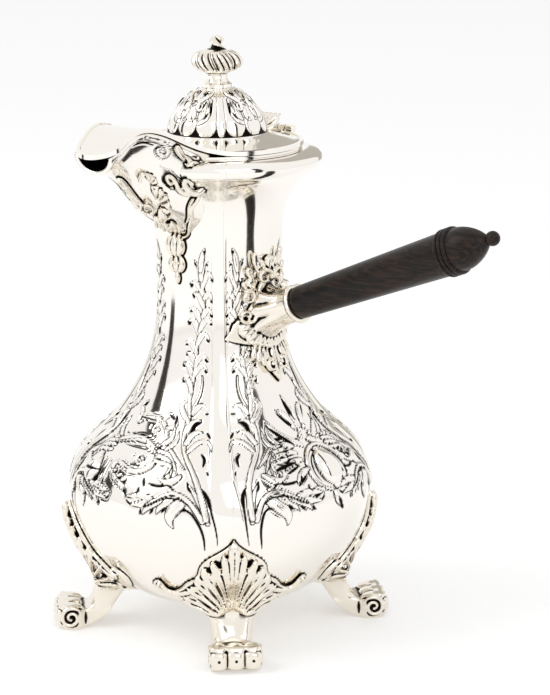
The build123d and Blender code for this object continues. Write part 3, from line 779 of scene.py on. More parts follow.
def wall_outline(gauge):
    """Closed (radius, height) outline of the body's wall, fine where it is chased."""
    outer = smooth_line(BODY + COLLAR, 1600)
    rows = [outer[0]]
    for point in outer[1:]:
        step = FINE_STEP if FINE[0] < point[1] < FINE[1] else PLAIN_STEP
        if np.linalg.norm(point - rows[-1]) >= step:
            rows.append(point)
    rows.append(outer[-1])
    inner = smooth_line(BODY, 50)
    side = np.gradient(inner, axis=0)
    side /= np.linalg.norm(side, axis=1)[:, None]
    inner = inner + gauge * np.stack([-side[:, 1], side[:, 0]], 1)
    inner[0] = (3, BODY[0][1] + gauge)
    return rows + [np.array(p) for p in THROAT] + list(inner[::-1])


def spout_hollow(points):
    """True for points inside the spout's wall, where the neck is open."""
    reach = -points[:, 1]
    half = np.interp(reach, SPOUT[:, 0], SPOUT[:, 1]) - 0.5
    low = np.interp(reach, SPOUT[:, 0], SPOUT[:, 2]) + 0.5
    top = np.interp(reach, SPOUT_EDGE[:, 0], SPOUT_EDGE[:, 1])
    oval = (points[:, 0] / half) ** 2 + ((points[:, 2] - top) / (top - low)) ** 2
    return (reach > 10) & (oval < 1)


def turned(points, degrees):
    """Points turned about the pot's axis."""
    return points @ np.array(Matrix.Rotation(math.radians(degrees), 3, "Z")).T


def cut_throat(bm):
    """Takes away the front quarter's faces where the spout opens into the neck."""
    middles = turned(np.array([f.calc_center_median() for f in bm.faces]), QUARTERS["front"])
    gone = np.flatnonzero(spout_hollow(middles))
    bm.faces.ensure_lookup_table()
    bmesh.ops.delete(bm, geom=[bm.faces[i] for i in gone], context="FACES")


def raise_body(sizes):
    """Four quarters of the raised body, each with its wall and its chasing, and the base's centre."""
    gauge = sizes.gauge / MM
    outline = np.array(wall_outline(gauge))

    def wall(u, v):
        radius, height = outline[np.rint(v * len(outline)).astype(int) % len(outline)].T
        turn = np.radians(90 * u - 45)
        return np.stack([radius * np.cos(turn), radius * np.sin(turn), height], -1)

    reliefs = {}
    for name, facing in QUARTERS.items():
        bm = sheet(COLUMNS, len(outline), wall)
        bmesh.ops.edgeloop_fill(bm, edges=[e for e in bm.edges if e.is_boundary])
        if name == "front":
            cut_throat(bm)
            reliefs.clear()  # this quarter has fewer points than the others
        points = places_of(bm)
        mesh = to_mesh(f"body_{name}", bm)
        azimuth = np.degrees(np.arctan2(points[:, 1], points[:, 0]))
        middle = shell_boss if name in ("right", "left") else cartouche
        if middle not in reliefs:
            reliefs[middle] = quarter_relief(points, azimuth, middle(), sizes.strap / MM)
        height, dark = reliefs[middle]
        relief = (height * sizes.relief)[:, None]
        points = points + relief * square_to(on_body, azimuth, np.clip(points[:, 2], 14, 205))
        points = turned(points, facing)
        # the relief stays inside the plain form's extent
        points[:, 0] = np.maximum(points[:, 0], CAD_BOX[0][0] / MM)
        write_places(mesh, points)
        set_oxide_and_shade(mesh, dark)
        rings = ("body_bowl", "body_shoulder", "body_neck", "body_collar")
        new_piece(f"body_{name}", mesh, POT, "polished_silver", rings if name == "front" else ())
    bm = bmesh.new()
    bmesh.ops.create_cone(bm, cap_ends=True, segments=48, radius1=DISC, radius2=DISC, depth=gauge,
                          matrix=Matrix.Translation((0, 0, BODY[0][1] + gauge / 2)))
    new_piece("body_base_centre", to_mesh("body_base_centre", bm), POT, "polished_silver", angle=40)


# ---------------------------------------------------------------- feet
# one side of the foot's acanthus fan: (millimetres sideways, height) of each lobe, root to tip
FAN = [
    [(0.7, 22), (2.4, 37), (4.6, 51.4)],
    [(1.5, 21.6), (4.6, 35), (9.4, 48.4)],
    [(2.3, 21.2), (7.2, 33), (13.4, 43.8)],
    [(3.0, 20.8), (8.8, 30), (16.4, 38.4)],
    [(3.7, 20.4), (10.4, 27.4), (19.4, 33.2)],
    [(4.4, 20.0), (12.0, 24.4), (21.0, 28.6)],
    [(5.0, 19.6), (11.6, 21.8), (18.6, 24.2)],
]
TENDRIL = [(17.6, 31.4), (23.4, 29.2), (28.6, 30.6), (31.6, 33.8)]
SKIRT = [
    [(4.2, 9.6), (5.4, 14.5), (8.8, 18.6), (14.6, 21.4)],
    [(5.4, 10.2), (6.6, 15.4), (10.4, 20.0), (17, 23.4)],
]
TOE_LOBES = (-7.3, 0.0, 7.3)  # millimetres sideways

# (radius, height) of the front of the leg and of the leaf above it
FOOT_FRONT = smooth_line([
    (57.6, 8), (56.6, 12), (55.9, 16), (55.7, 20), (56.5, 24), (57.9, 28), (59.6, 32), (62.4, 37),
    (65.9, 44.5), (67.8, 51), (67.9, 58),
], 60)


def on_foot_leaf(sideways, height):
    """Front of a foot that stands at azimuth 0, falling back to the body at both of its sides."""
    front = np.interp(height, FOOT_FRONT[:, 1], FOOT_FRONT[:, 0])
    radius = front + (body_radius(height) + 1.4 - front) * share(np.abs(sideways), 6.0, 17.0)
    turn = np.asarray(sideways, float) / radius
    return np.stack([radius * np.cos(turn), radius * np.sin(turn), height + 0 * turn], -1)


def toe_scroll(bm, side):
    """Adds the scroll worked on one side of the toe."""
    count = 46
    wind, out = np.radians(np.linspace(150, -480, count)), np.linspace(5.0, 0.5, count)
    across = np.full(count, side * 10.7)
    line = np.stack([67.6 + out * np.cos(wind), across, 5.6 + out * np.sin(wind)], -1)
    sweep(bm, line, np.tile((0.0, side, 0.0), (count, 1)), 1.7, 1.1, "vine")


def toe_lobe(bm, points, out, width, thick):
    line = smooth_line(points, 9)
    sweep(bm, line, np.tile(out, (9, 1)), width, thick, "ring")


def foot_pattern():
    """Pattern of one foot at azimuth 0: plain form, fan's lobes, tendrils and the toe's scrolls."""
    bm = bmesh.new()
    add_node(bm, "foot_front_right", 45.0)
    lay(bm, on_foot_leaf, "lobe", 5.2, 2.4, [(0, 22), (0, 40), (0, 57.2)], 0.7, 0.35)
    for side in (1, -1):
        for step, lobe in enumerate(FAN):
            root, bend, tip = [np.array(p, float) for p in lobe]
            reach = 1.12 * (tip - bend)
            thick = 2.3 + 0.25 * max(step - 3, 0)
            lay(bm, on_foot_leaf, "lobe", 3.4, thick, sided(lobe, side), 0.6, 0.3)
            # two smaller lobes beside each tip
            for swing in (0.42, -0.42):
                c, s = math.cos(swing), math.sin(swing)
                swung = np.array([c * reach[0] - s * reach[1], s * reach[0] + c * reach[1]])
                small = bend + 0.78 * swung
                middle = (bend + small) / 2 + 0.03 * (small - root)
                points = sided((bend, middle, small), side)
                lay(bm, on_foot_leaf, "lobe", 2.5, 1.9, points, 0.6, 0.3)
        # the skirt by which the leg widens into the leaf
        for points in SKIRT:
            lay(bm, on_foot_leaf, "vine", 5.4, 2.6, sided(points, side), -0.6)
        lay(bm, on_foot_leaf, "vine", 2.8, 1.5, sided(TENDRIL, side), 0.8)
        lay(bm, on_foot_leaf, "ring", 3.8, 2.1, sided([(31.6, 33.4), (32.8, 34.0)], side), 1.0)
        toe_scroll(bm, side)
    # three rounded lobes across the toe's front, running back over its top
    for y in TOE_LOBES:
        toe_lobe(bm, [(72.0, y, 1.6), (72.9, y, 5.2), (72.3, y, 9.4)], (1.0, 0.0, 0.0), 6.9, 1.9)
        over = [(62.4, y * 0.82, 9.2), (66.6, y, 10.7), (70.6, y, 10.6)]
        toe_lobe(bm, over, (0.0, 0.0, 1.0), 6.0, 0.9)
    return bm


def cast_feet(sizes):
    """Four cast cabriole feet out of one pattern."""
    pattern = cast("foot_pattern", foot_pattern(), sizes.grain, 2, 0.012, 0.075)
    places, dark = read_places(pattern), read_oxide_and_shade(pattern)
    radius = np.hypot(places[:, 0], places[:, 1])
    # the shin is filed round and burnished, from under the leaf down to the toe
    shin = share(places[:, 2], 7.5, 10.5) * (1 - share(places[:, 2], 17, 21))
    shin = shin * (1 - share(places[:, 0], 61.0, 63.5))
    filed = neighbours_mean(places, edge_ends(pattern), 70)
    places = places + shin[:, None] * (filed - places)
    # painted shade on the foot where it lies against the body
    behind = (radius < body_radius(places[:, 2]) + 0.4) & (places[:, 2] > 19)
    dark = np.maximum(dark * (1 - 0.8 * shin), 0.8 * behind)
    for y in TOE_LOBES:  # painted shade of a drilled eye in each, which is not cut
        away = np.linalg.norm(places - np.array((74.6, y, 6.0)), axis=1)
        dark = np.maximum(dark, 1 - share(away, 0.4, 0.95))
    set_oxide_and_shade(pattern, dark)
    for corner, azimuth in CORNERS.items():
        mesh = pattern.copy()
        write_places(mesh, turned(places, azimuth))
        new_piece(f"foot_{corner}_acanthus", mesh, POT, "cast_silver", (f"foot_{corner}",))
    bpy.data.meshes.remove(pattern)
    for quarter in QUARTERS:
        shade_under(f"body_{quarter}", [f"foot_{corner}_acanthus" for corner in CORNERS], 0.9)


# ---------------------------------------------------------------- handle socket
def socket_cup(bm):
    """Adds the trumpet from the grip's rim to the neck, in nine soft pleats with a ruffled edge."""
    def place(u, v):
        turn, outer = 360 * u, v <= 0.5
        along = np.where(outer, v * 2, (1 - v) * 2)
        pleat = np.abs(np.cos(np.radians(4.5 * turn)))
        depth = share(along, 0.12, 1.0)
        out = np.interp(along, [0, 0.12, 0.4, 0.7, 0.88, 1], [7.7, 7.5, 7.7, 8.7, 10.0, 11.2])
        out = out + depth * (1.3 * pleat - 0.8) - np.where(outer, 0.0, 1.3)
        back = -20.6 + 4.6 * np.cos(np.radians(turn)) + 1.6 * pleat
        return handle_place(0.2 + along * back, out, turn)

    join(bm, sheet(108, 80, place))


def volute(bm, side, centre, radius, start, turns, width, thick, proud):
    """Adds a scroll on the neck that winds inwards to a round eye, radius in millimetres."""
    degree = math.radians(1) * body_radius(centre[1])
    wound = curl(centre, radius, start, turns, 0.22)
    points = [((x - centre[0]) / degree + centre[0], z) for x, z in wound]
    lay(bm, on_body, "vine", width, thick, sided(points, side), proud)
    eye = [(centre[0], centre[1] - 0.2), (centre[0], centre[1] + 0.2)]
    lay(bm, on_body, "ring", 0.42 * radius, thick, sided(eye, side), proud + 0.4)


def socket_pattern():
    """Ferrule in a ruffled acanthus cup, with scrolls beside, above and below it on the neck."""
    bm = bmesh.new()
    add_node(bm, "handle_socket")
    socket_cup(bm)
    lay(bm, on_socket, "ring", 2.0, 1.1, [(-0.9, a) for a in range(0, 361, 30)], 0.4)
    for side in (1, -1):
        for scroll in (
            ((-26.0, 144.4), 3.6, 20, -1.35, 2.2, 2.6, 3.0),
            ((-25.0, 152.6), 3.1, 120, -1.3, 2.0, 2.4, 3.0),
            ((-27.0, 158.4), 1.7, 60, -1.1, 1.3, 1.6, 1.6),
            ((-8.2, 160.6), 3.7, -30, 1.3, 2.2, 2.6, 3.0),
            ((-5.6, 121.2), 2.9, 60, 1.3, 1.9, 2.2, 2.2),
        ):
            volute(bm, side, *scroll)
        # scalloped skirt of the leaf, its ribbed fringe and the small leaves round the scrolls
        for width, thick, points in (
            (6.4, 2.2, [(10, 142), (20, 139.6), (33, 137.0)]),
            (6.2, 2.2, [(9, 139), (18, 135.6), (25.6, 132.4)]),
            (6.0, 2.2, [(6, 137), (12, 134), (15.4, 130.4)]),
            (5.6, 2.0, [(2, 137), (4, 132.6), (5, 128.8)]),
            (2.3, 1.5, [(16, 133), (20, 129), (22.6, 124.8)]),
            (2.3, 1.5, [(13, 132), (16, 127.6), (17.6, 123.2)]),
            (2.3, 1.5, [(10, 131), (12, 126.6), (13, 121.4)]),
            (2.3, 1.5, [(7, 130), (8.4, 126.6), (9, 123.4)]),
            (3.4, 1.7, [(15, 158), (20, 160.6), (24, 165.6)]),
            (3.0, 1.6, [(12, 161), (16, 166), (17, 172)]),
            (4.2, 2.0, [(5, 163), (9.6, 166.4), (15.4, 166.0)]),
            (3.6, 1.8, [(14, 155), (19, 156.4), (21.4, 160.0)]),
        ):
            lay(bm, on_body, "lobe", width, thick, sided(points, -side), 1.9, 0.4)
    lay(bm, on_body, "lobe", 5.6, 2.4, [(0, 158), (0, 163), (0, 169.6)], 1.8, 0.4)
    lay(bm, on_body, "drop", 6.0, 2.4, [(0, 133), (0, 122), (0, 114.8)], 1.2, 0.4)
    return bm


def cast_socket(sizes):
    """The cast handle socket with its acanthus."""
    mesh = cast("handle_socket_acanthus", socket_pattern(), sizes.grain, 2)
    new_piece("handle_socket_acanthus", mesh, POT, "cast_silver", ("handle_socket",))
    shade_under("body_right", ["handle_socket_acanthus"], 1.3)


# ---------------------------------------------------------------- spout
SPOUT_ROWS, SPOUT_COLUMNS = 150, 190
# the moulding along the spout's edge: how far it stands out, how far its middle lies below the
# edge and behind the end, and half its width
BEAD_RISE, BEAD_BELOW, BEAD_BEHIND, BEAD_HALF = 0.75, 1.3, 1.2, 1.5
THROAT_SHADE_END = 0.992  # share of the way along the spout at which the painted shade inside it ends, so its inside is bright from there to the mouth


def spout_start(angle):
    """Reach at which the spout leaves the body's wall, at these degrees round it."""
    reach = np.full(len(angle), 30.0)
    wall = smooth_line(BODY + COLLAR, 900)
    for _ in range(40):
        place = on_spout(reach, angle)
        radius = np.interp(place[:, 2], wall[:, 1], wall[:, 0]) - 0.6
        reach = 0.5 * (reach + np.sqrt(np.clip(radius**2 - place[:, 0] ** 2, 14**2, None)))
    return reach


def spout_strokes():
    """Scrolls chased on both sides of the spout, as (reach, degrees round it) of a few points."""
    one = [
        ("scroll", 1.9, [(60, 4), (56, 5.5), (52, 5), (49.4, 8), (49.4, 13), (52, 15.6), (54, 12.6),
                         (52.4, 10)]),
        ("line", 1.2, [(66, 12), (61, 9), (56, 9.6)]),
        ("scroll", 2.1, [(33, 31), (38, 34), (41.4, 30), (44, 34.6), (47.4, 34), (48.6, 28.6),
                         (46, 25), (43.6, 28), (45.4, 30.6)]),
        ("scroll", 1.7, [(35, 25), (36.4, 21.4), (39.6, 22.4), (40, 27), (37.4, 28.6)]),
    ]
    other = [(kind, width, [(reach, 180 - a) for reach, a in points]) for kind, width, points in one]
    return one + other


def raise_spout(sizes):
    """Raised beak spout: a wall with a moulded edge, scrolls on its sides and painted shade in its
    throat.
    """
    angles = np.linspace(0, 180, 400)
    starts = spout_start(angles)
    mouth_reach, mouth_height, lean = SPOUT_MOUTH

    def place(u, v):
        # v runs round the section: over the outside, back along the inside and shut at its start
        outer = (v < 0.501) | (v > 0.999)
        angle = 360 * np.minimum(v, 1 - v)
        first = np.interp(angle, angles, starts)
        last = np.full(len(u), mouth_reach)
        for _ in range(4):
            last = mouth_reach + lean * (on_spout(last, angle)[:, 2] - mouth_height)
        reach = first + (last - first) * u
        at, out = on_spout(reach, angle), square_to(on_spout, reach, np.clip(angle, 1, 179))
        below = np.interp(reach, SPOUT_EDGE[:, 0], SPOUT_EDGE[:, 1]) - at[:, 2]
        edge = np.clip(1 - ((below - BEAD_BELOW) / BEAD_HALF) ** 2, 0, 1) ** 0.5
        tip = np.clip(1 - ((last - reach - BEAD_BEHIND) / BEAD_HALF) ** 2, 0, 1) ** 0.5
        bead = BEAD_RISE * np.maximum(edge, tip)
        end = (u < 0.001) | (u > 0.999)
        sunk = np.where(end, SPOUT_GAUGE / 2, np.where(outer, 0.0, SPOUT_GAUGE))
        return at - out * sunk[:, None], out, bead * outer * ~end, outer & ~end

    bm, u, v = grid(SPOUT_COLUMNS, SPOUT_ROWS * 2)
    at, out, bead, outer = place(u, v)
    height, dark = chase(at, spout_strokes(), on_spout)
    height, dark = height * outer, dark * outer
    # painted shade along the foot of the moulding
    moulding_shade = np.exp(-(((bead - 0.18) / 0.2) ** 2)) * outer * (bead > 0)
    # painted shade fills the spout's inside and fades out just before its mouth
    dark = np.where(outer, np.maximum(dark, 0.7 * moulding_shade), share(THROAT_SHADE_END - u, 0, 0.012))
    layer = bm.verts.layers.float.new("oxide_and_shade")
    for vert, value in zip(bm.verts, dark):
        vert[layer] = value
    form(bm, at + out * (np.maximum(bead, 0) + height * sizes.relief)[:, None])
    mesh = to_mesh("spout_beak", bm)
    new_piece("spout_beak", mesh, POT, "polished_silver", ("spout_shell", "spout_lip"))


def on_spout_left(reach, angle):
    """The spout seen in a mirror, so that one side's ornament serves for both."""
    return on_spout(reach, angle) * np.array((-1.0, 1.0, 1.0))


def spout_border_pattern(bm, surface):
    """C-scroll border on one side of the spout's seat, from the lid down to the husk."""
    lay_all(bm, surface, [
        ("leaf", 3.0, 2.2, [(46, 3), (43.6, 7), (41, 11)], 0.9, 0.3),
        ("lobe", 2.8, 1.8, [(43, 6), (39.4, 8.4), (37, 13.6)], 0.7, 0.4),
        ("lobe", 2.4, 1.6, [(41, 12), (38.6, 16), (40.4, 19)], 0.5, 0.4),
        ("leaf", 3.0, 2.0, [(39, 12), (36, 9.6), (33.4, 8)], 0.8, 0.3),
        ("ring", 3.2, 2.0, [(34, 8.6), (33, 8.4)], 1.0),
        ("vine", 4.2, 1.9, [(33, 8), (31.6, 14), (30.8, 21), (32, 27.4), (35.4, 31), (39, 29.4),
                            (40.4, 25.4), (38.4, 23.2), (36.6, 25.4), (37.6, 27)], 1.2, 0.35),
        ("vine", 2.6, 1.5, [(35.4, 31.6), (39.6, 34.6), (42.4, 33.4), (44.6, 29), (47.4, 27.6),
                            (48.4, 31.4), (46.2, 33.4), (45.2, 30.8)], 1.0, 0.3),
        ("vine", 2.0, 1.5, [(31.6, 27), (32.4, 36), (33.4, 44), (31.6, 52), (30.2, 60), (27.6, 70),
                            (26.4, 80), (27.4, 88)], 0.8, 0.4),
        ("vine", 1.3, 1.3, [(34.0, 34), (34.8, 44), (33.0, 53), (32.0, 61)], 0.5),
    ])


ROUND = 3.0  # degrees round the spout that count as one millimetre in its flowers


def rosette_pattern(bm, surface):
    """Shell flower low on one side of the spout: ribbed hoods, a spiral eye and curled petals."""
    for (reach, round_), arc, inner, outer, wide in (
        ((49.0, 61), range(-196, -55, 28), 2.2, 6.4, 2.6),
        ((55.0, 47), range(-190, -20, 34), 1.0, 3.9, 1.9),
    ):
        for turn in arc:
            c, s = math.cos(math.radians(turn)), math.sin(math.radians(turn))
            root, tip = [(reach + r * c, round_ + ROUND * r * s) for r in (inner, outer)]
            middle = ((root[0] + tip[0]) / 2, (root[1] + tip[1]) / 2)
            lay(bm, surface, "lobe", wide, 2.2, [root, middle, tip], 1.3, 0.25)
    eye = [(x, 70 + ROUND * (y - 70)) for x, y in curl((51.0, 70), 2.9, 30, 1.4, 0.25)]
    lay_all(bm, surface, [
        ("vine", 1.7, 1.7, [(59.6, 52), (60.0, 45), (58.0, 38.6), (54.6, 36.6), (51.8, 40)], 1.6),
        ("vine", 1.6, 2.2, eye, 1.9),
        ("drop", 4.2, 2.6, [(46.8, 62), (44.0, 66), (41.8, 72)], 1.3, 0.4),
        ("vine", 1.8, 2.0, [(46.0, 53), (43.2, 54), (41.2, 59), (41.4, 65)], 1.4),
        ("drop", 4.4, 2.6, [(46.0, 74), (42.4, 79), (39.4, 86)], 1.3, 0.4),
        ("drop", 4.0, 2.5, [(41.4, 74), (38.4, 78), (35.8, 83)], 1.3, 0.4),
        ("drop", 3.4, 2.3, [(38.8, 67), (36.8, 71), (35.2, 76)], 1.1, 0.4),
    ])
    for tip in ((68.0, 72), (64.0, 76), (60.0, 81), (56.6, 85), (53.0, 90)):
        middle = ((tip[0] + 52.6) / 2, (tip[1] + 74) / 2 + 1.5)
        lay(bm, surface, "lobe", 2.7, 1.9, [(52.6, 74), middle, tip], 1.0, 0.4)


def pendant_pattern():
    """Husk of fluted drops that hangs on the neck from the borders' meeting."""
    bm = bmesh.new()
    for azimuth, width in ((-6.4, 3.4), (0, 3.8), (6.4, 3.4)):
        wide, narrow, close = [-90 + azimuth * part for part in (0.6, 0.5, 0.4)]
        upper = [(wide, 180), (-90 + azimuth, 175), (narrow, 169.4)]
        lower = [(wide, 170.4), (-90 + azimuth, 166.6), (close, 162.4)]
        lay(bm, on_body, "drop", width, 3.0, upper, 0.8, 0.25)
        lay(bm, on_body, "drop", width * 0.8, 2.3, lower, 0.7, 0.25)
    lay(bm, on_body, "drop", 2.6, 1.8, [(-90, 163.6), (-90, 161), (-90, 157.4)], 0.5)
    return bm


def cast_spout_ornament(sizes):
    """Borders, rosettes and husk soldered on the spout."""
    for side, surface in (("right", on_spout), ("left", on_spout_left)):
        for kind, pattern in (("border", spout_border_pattern), ("rosette", rosette_pattern)):
            bm = bmesh.new()
            pattern(bm, surface)
            name = f"spout_{kind}_{side}"
            mesh = cast(f"{name}_cast", bm, 0.75 * sizes.grain, 1)
            new_piece(f"{name}_cast", mesh, POT, "cast_silver", (name,))
    mesh = cast("spout_husk", pendant_pattern(), 0.75 * sizes.grain, 1)
    new_piece("spout_husk", mesh, POT, "cast_silver", ("spout_pendant",))
    soldered = [
        f"spout_{kind}_{side}_cast" for kind in ("border", "rosette") for side in ("left", "right")
    ]
    shade_under("spout_beak", soldered, 1.1)
    shade_under("body_front", soldered + ["spout_husk"], 1.1)


# ---------------------------------------------------------------- handle grip
GRIP_TAPER, GRIP_END = 82.0, 9.2  # length of the plain taper and its radius at the beads
BEADS, BEAD = 3, 2.1
KNOB = 3.1


def turn_grip(sizes):
    """Ebony grip turned in one piece: straight taper, three beads, domed end and ball knob."""
    start = sizes.grip_start / MM
    outline = [(0, -0.3), (start - 1.6, -0.2), (start - 0.5, 0.15), (start - 0.1, 0.7), (start, 1.5)]
    for t in np.linspace(0.05, 1, 12):
        outline.append((start + (GRIP_END - start) * t, 1.5 + (GRIP_TAPER - 1.5) * t))
    for i in range(BEADS):
        for t in np.linspace(0.1, 1, 9):
            swell = math.sin(math.pi * t) ** 0.6
            outline.append((GRIP_END - 0.1 + swell, GRIP_TAPER + BEAD * (i + t)))
    top = GRIP_TAPER + BEADS * BEAD
    dome = [(9.0, 0), (8.9, 2.4), (7.8, 6.4), (5.2, 11.2), (2.0, 15.0)]
    outline += [tuple(p) for p in smooth_line([(out, top + along) for out, along in dome], 20)]
    middle = top + 15.0 + KNOB - 0.6
    for a in np.linspace(0.72, math.pi, 18):
        outline.append((KNOB * math.sin(a), middle - KNOB * math.cos(a)))
    outline = np.array(outline)
    steps = np.linspace(0, 1, len(outline))

    def place(u, v):
        out, along = [np.interp(v, steps, outline[:, k]) for k in (0, 1)]
        return handle_place(along, out, 360 * u)

    mesh = to_mesh("handle_grip_turned", sheet(96, len(outline) - 1, place))
    new_piece("handle_grip_turned", mesh, POT, "ebony", ("handle_grip",), angle=40)


# ---------------------------------------------------------------- lid
def dome_strokes():
    """Scrolls and leaves chased in the upper part of the dome, over each side of the pot."""
    half = [
        ("scroll", 1.5, [(30, 237.4), (24, 236), (14, 234.6), (9, 232.2), (13, 230.8), (17, 232.2),
                         (14, 233.4)]),
        ("leaf", 2.2, [(28, 235), (27, 231.6), (20, 229.4)]),
        ("leaf", 2.0, [(22, 233), (20, 228.6), (12, 227.6)]),
        ("leaf", 1.8, [(6, 231), (8, 228), (3, 226.4)]),
        ("pit", 1.2, [(21, 234.4), (18, 231.4)]),
        ("pit", 1.3, [(27, 229.6), (23, 227.4)]),
        ("pit", 1.0, [(5, 228), (9, 226)]),
        ("line", 0.8, [(34, 236.6), (32, 230), (26, 226.4), (14, 225)]),
        ("pit", 1.1, [(31, 233.4), (30.6, 228.6)]),
        ("leaf", 1.7, [(20, 237.4), (12, 237.2), (6, 235.6)]),
    ]
    middle = [("boss", 3.0, [(-4, 233.4), (4, 233.4)]), ("pit", 0.9, [(-2, 233.2), (2, 233.2)])]
    one = half + moved(half, side=-1) + middle
    return [stroke for turn in (0, 90, 180, 270) for stroke in moved(one, turn)]


# (middle, half width) in degrees of the flutes of one quarter of the dome, from a diagonal
FLUTES = [(0.0, 5.5), (18.5, 13.0), (45.0, 13.5), (71.5, 13.0)]


def flute_rise(azimuth, height):
    """How far the dome's flutes swell, with round feet."""
    rise = np.zeros(len(azimuth))
    from_diagonal = np.mod(azimuth - 45, 90)
    for middle, half in FLUTES:
        for turn in (0, 90):
            away = np.abs(from_diagonal - middle - turn) / half
            foot = 220.6 + 3.6 * np.clip(away, 0, 1) ** 3.2
            swell = np.sqrt(np.clip(1 - away**2, 0, 1)) * share(height, foot - 0.5, foot + 0.9)
            rise = np.maximum(rise, swell)
    return rise * (0.35 + 0.65 * (1 - share(height, 226, 236)))


def on_diagonal(azimuth):
    """True in the plain part of each quarter of the dome, which is not chased."""
    return (azimuth % 90 > 33) & (azimuth % 90 < 57)


def raise_lid(sizes):
    """Fluted and chased dome over the lid's sheet."""
    outline = smooth_line(DOME, 90)
    steps = np.linspace(0, 1, len(outline))
    strokes = dome_strokes()

    def place(u, v):
        # v runs up the outside and, from its last quarter on, back down the inside
        outer = (v < 0.751) | (v > 0.999)
        along = np.minimum(v / 0.75, (1 - v) / 0.25)
        azimuth = 360 * u
        height = np.interp(along, steps, outline[:, 1])
        at, out = on_dome(azimuth, height), square_to(on_dome, azimuth, np.clip(height, 219.9, 238.2))
        relief, _ = chase(at, strokes, on_dome)
        flutes = sizes.flute / MM * (flute_rise(azimuth, height) - 0.35)
        relief = np.where(on_diagonal(azimuth), 0, relief) + flutes + 0.45
        return at + out * np.where(outer, relief, -0.5)[:, None]

    mesh = to_mesh("lid_dome", sheet(540, 150, place))
    points = read_places(mesh)
    azimuth, height = np.degrees(np.arctan2(points[:, 1], points[:, 0])), points[:, 2]
    _, dark = chase(points, strokes, on_dome)
    dark = np.where(on_diagonal(azimuth), 0, dark)
    # the valleys between the flutes' feet are painted black, for their shade and oxide
    gap = 1 - share(flute_rise(azimuth, height), 0.05, 0.4)
    gap = gap * (1 - share(height, 223.6, 226.4)) * share(height, 219.4, 220.6)
    set_oxide_and_shade(mesh, np.clip(np.maximum(dark, gap) + hollows(mesh, 0.02, 0.1), 0, 1))
    new_piece("lid_dome", mesh, LID, "polished_silver")


def cast_thumb_leaf(sizes):
    """Veined leaf for the thumb, curled up over the hinge."""
    bm = bmesh.new()
    add_node(bm, "thumb_leaf")
    for x in (-4.0, -2.0, 0.0, 2.0, 4.0):
        line = smooth_line([
            (0.3 * x, 28.6, 218.8), (0.8 * x, 31.6, 220.6), (1.15 * x, 35.2, 223.0), (x, 38.0, 223.0),
        ], 14)
        sweep(bm, line, np.tile((0.0, -0.4, 0.9), (14, 1)), 2.4, 1.0, "lobe", 0.4)
    mesh = cast("thumb_leaf_veined", bm, 0.6 * sizes.grain, 1)
    new_piece("thumb_leaf_veined", mesh, LID, "cast_silver", ("thumb_leaf",))


def cast_finial():
    """Bud finial: broad ribbed lobes that turn a little, and a twisted flame."""
    outline = smooth_line([
        (0.2, 245.3), (4.4, 245.3), (7.6, 246.2), (9.7, 248.4), (10.2, 250.8), (8.8, 253.4),
        (5.4, 255.0), (3.0, 255.9), (2.5, 257.2), (2.3, 258.8), (1.3, 260.4), (0.1, 261.3),
    ], 120)
    steps = np.linspace(0, 1, len(outline))

    def place(u, v):
        out, height = np.interp(v, steps, outline[:, 0]), np.interp(v, steps, outline[:, 1])
        azimuth = 360 * u
        twist = azimuth + 3.0 * (height - 250)
        crown = share(height, 245.6, 248) * (1 - share(height, 253.6, 255.6))
        lobe = np.abs(np.sin(np.radians(3 * twist))) ** 0.6
        rib = np.cos(np.radians(24 * twist))
        flame = share(height, 255.6, 257.4)
        tongue = np.cos(np.radians(2 * (azimuth + 34 * (height - 256))))
        out = out * (1 + crown * (0.3 * lobe - 0.24 + 0.04 * rib) + flame * (0.5 * tongue + 0.05))
        turn = np.radians(azimuth)
        return np.stack([out * np.cos(turn), out * np.sin(turn), height], -1)

    mesh = to_mesh("finial_flame", sheet(320, 130, place))
    set_oxide_and_shade(mesh, hollows(mesh, 0.006, 0.04, 6))
    new_piece("finial_flame", mesh, LID, "cast_silver", ("finial_bud",))


# ---------------------------------------------------------------- construction and stage
def finish_construction():
    """Gives every construction node the finish of the metal or wood that it is made of."""
    for name, node in NODES.items():
        slot = "cast_silver"
        if name == "handle_grip":
            slot = "ebony"
        elif name in DRAWN:
            slot = "drawn_silver"
        elif name in RAISED or name.startswith("body_"):
            slot = "polished_silver"
        node.data.materials.clear()
        node.data.materials.append(finish(slot))


def aimed(place, target, axis):
    """Matrix that stands a thing here with this axis of its own towards the target."""
    turn = (Vector(target) - Vector(place)).to_track_quat(axis, "Y").to_matrix().to_4x4()
    return Matrix.Translation(place) @ turn


def flat_square(name, half, material):
    """Square sheet for the stage, laid flat."""
    bm = bmesh.new()
    bmesh.ops.create_grid(bm, x_segments=1, y_segments=1, size=half)
    made = link(name, to_mesh(name, bm, False))
    made.data.materials.append(material)
    return made


def glossy_card(name, size, place, facing, colour):
    """Studio flag or reflector that only reflections see."""
    material, tree = new_material(name)
    shader = add(tree, "ShaderNodeEmission", Strength=1.0)
    shader.inputs["Color"].default_value = srgb(colour)
    add(tree, "ShaderNodeOutputMaterial", [("Surface", shader.outputs[0])])
    card = flat_square(name, 0.5, material)
    card.matrix_world = aimed(place, facing, "Z") @ Matrix.Diagonal((*size, 1, 1))
    card.visible_camera = card.visible_diffuse = card.visible_shadow = False


PAPER_GLOW = 0.24  # lifts the paper to white under the soft lamps


def lay_floor(colour):
    """White paper on which the pot stands."""
    material, tree = new_material("white_paper_sweep")
    paper = add(tree, "ShaderNodeBsdfDiffuse")
    paper.inputs["Color"].default_value = colour
    glow = add(tree, "ShaderNodeEmission", Strength=PAPER_GLOW)
    lit = add(tree, "ShaderNodeAddShader", [(0, paper.outputs[0]), (1, glow.outputs[0])])
    add(tree, "ShaderNodeOutputMaterial", [("Surface", lit.outputs[0])])
    flat_square("floor", 8, material)


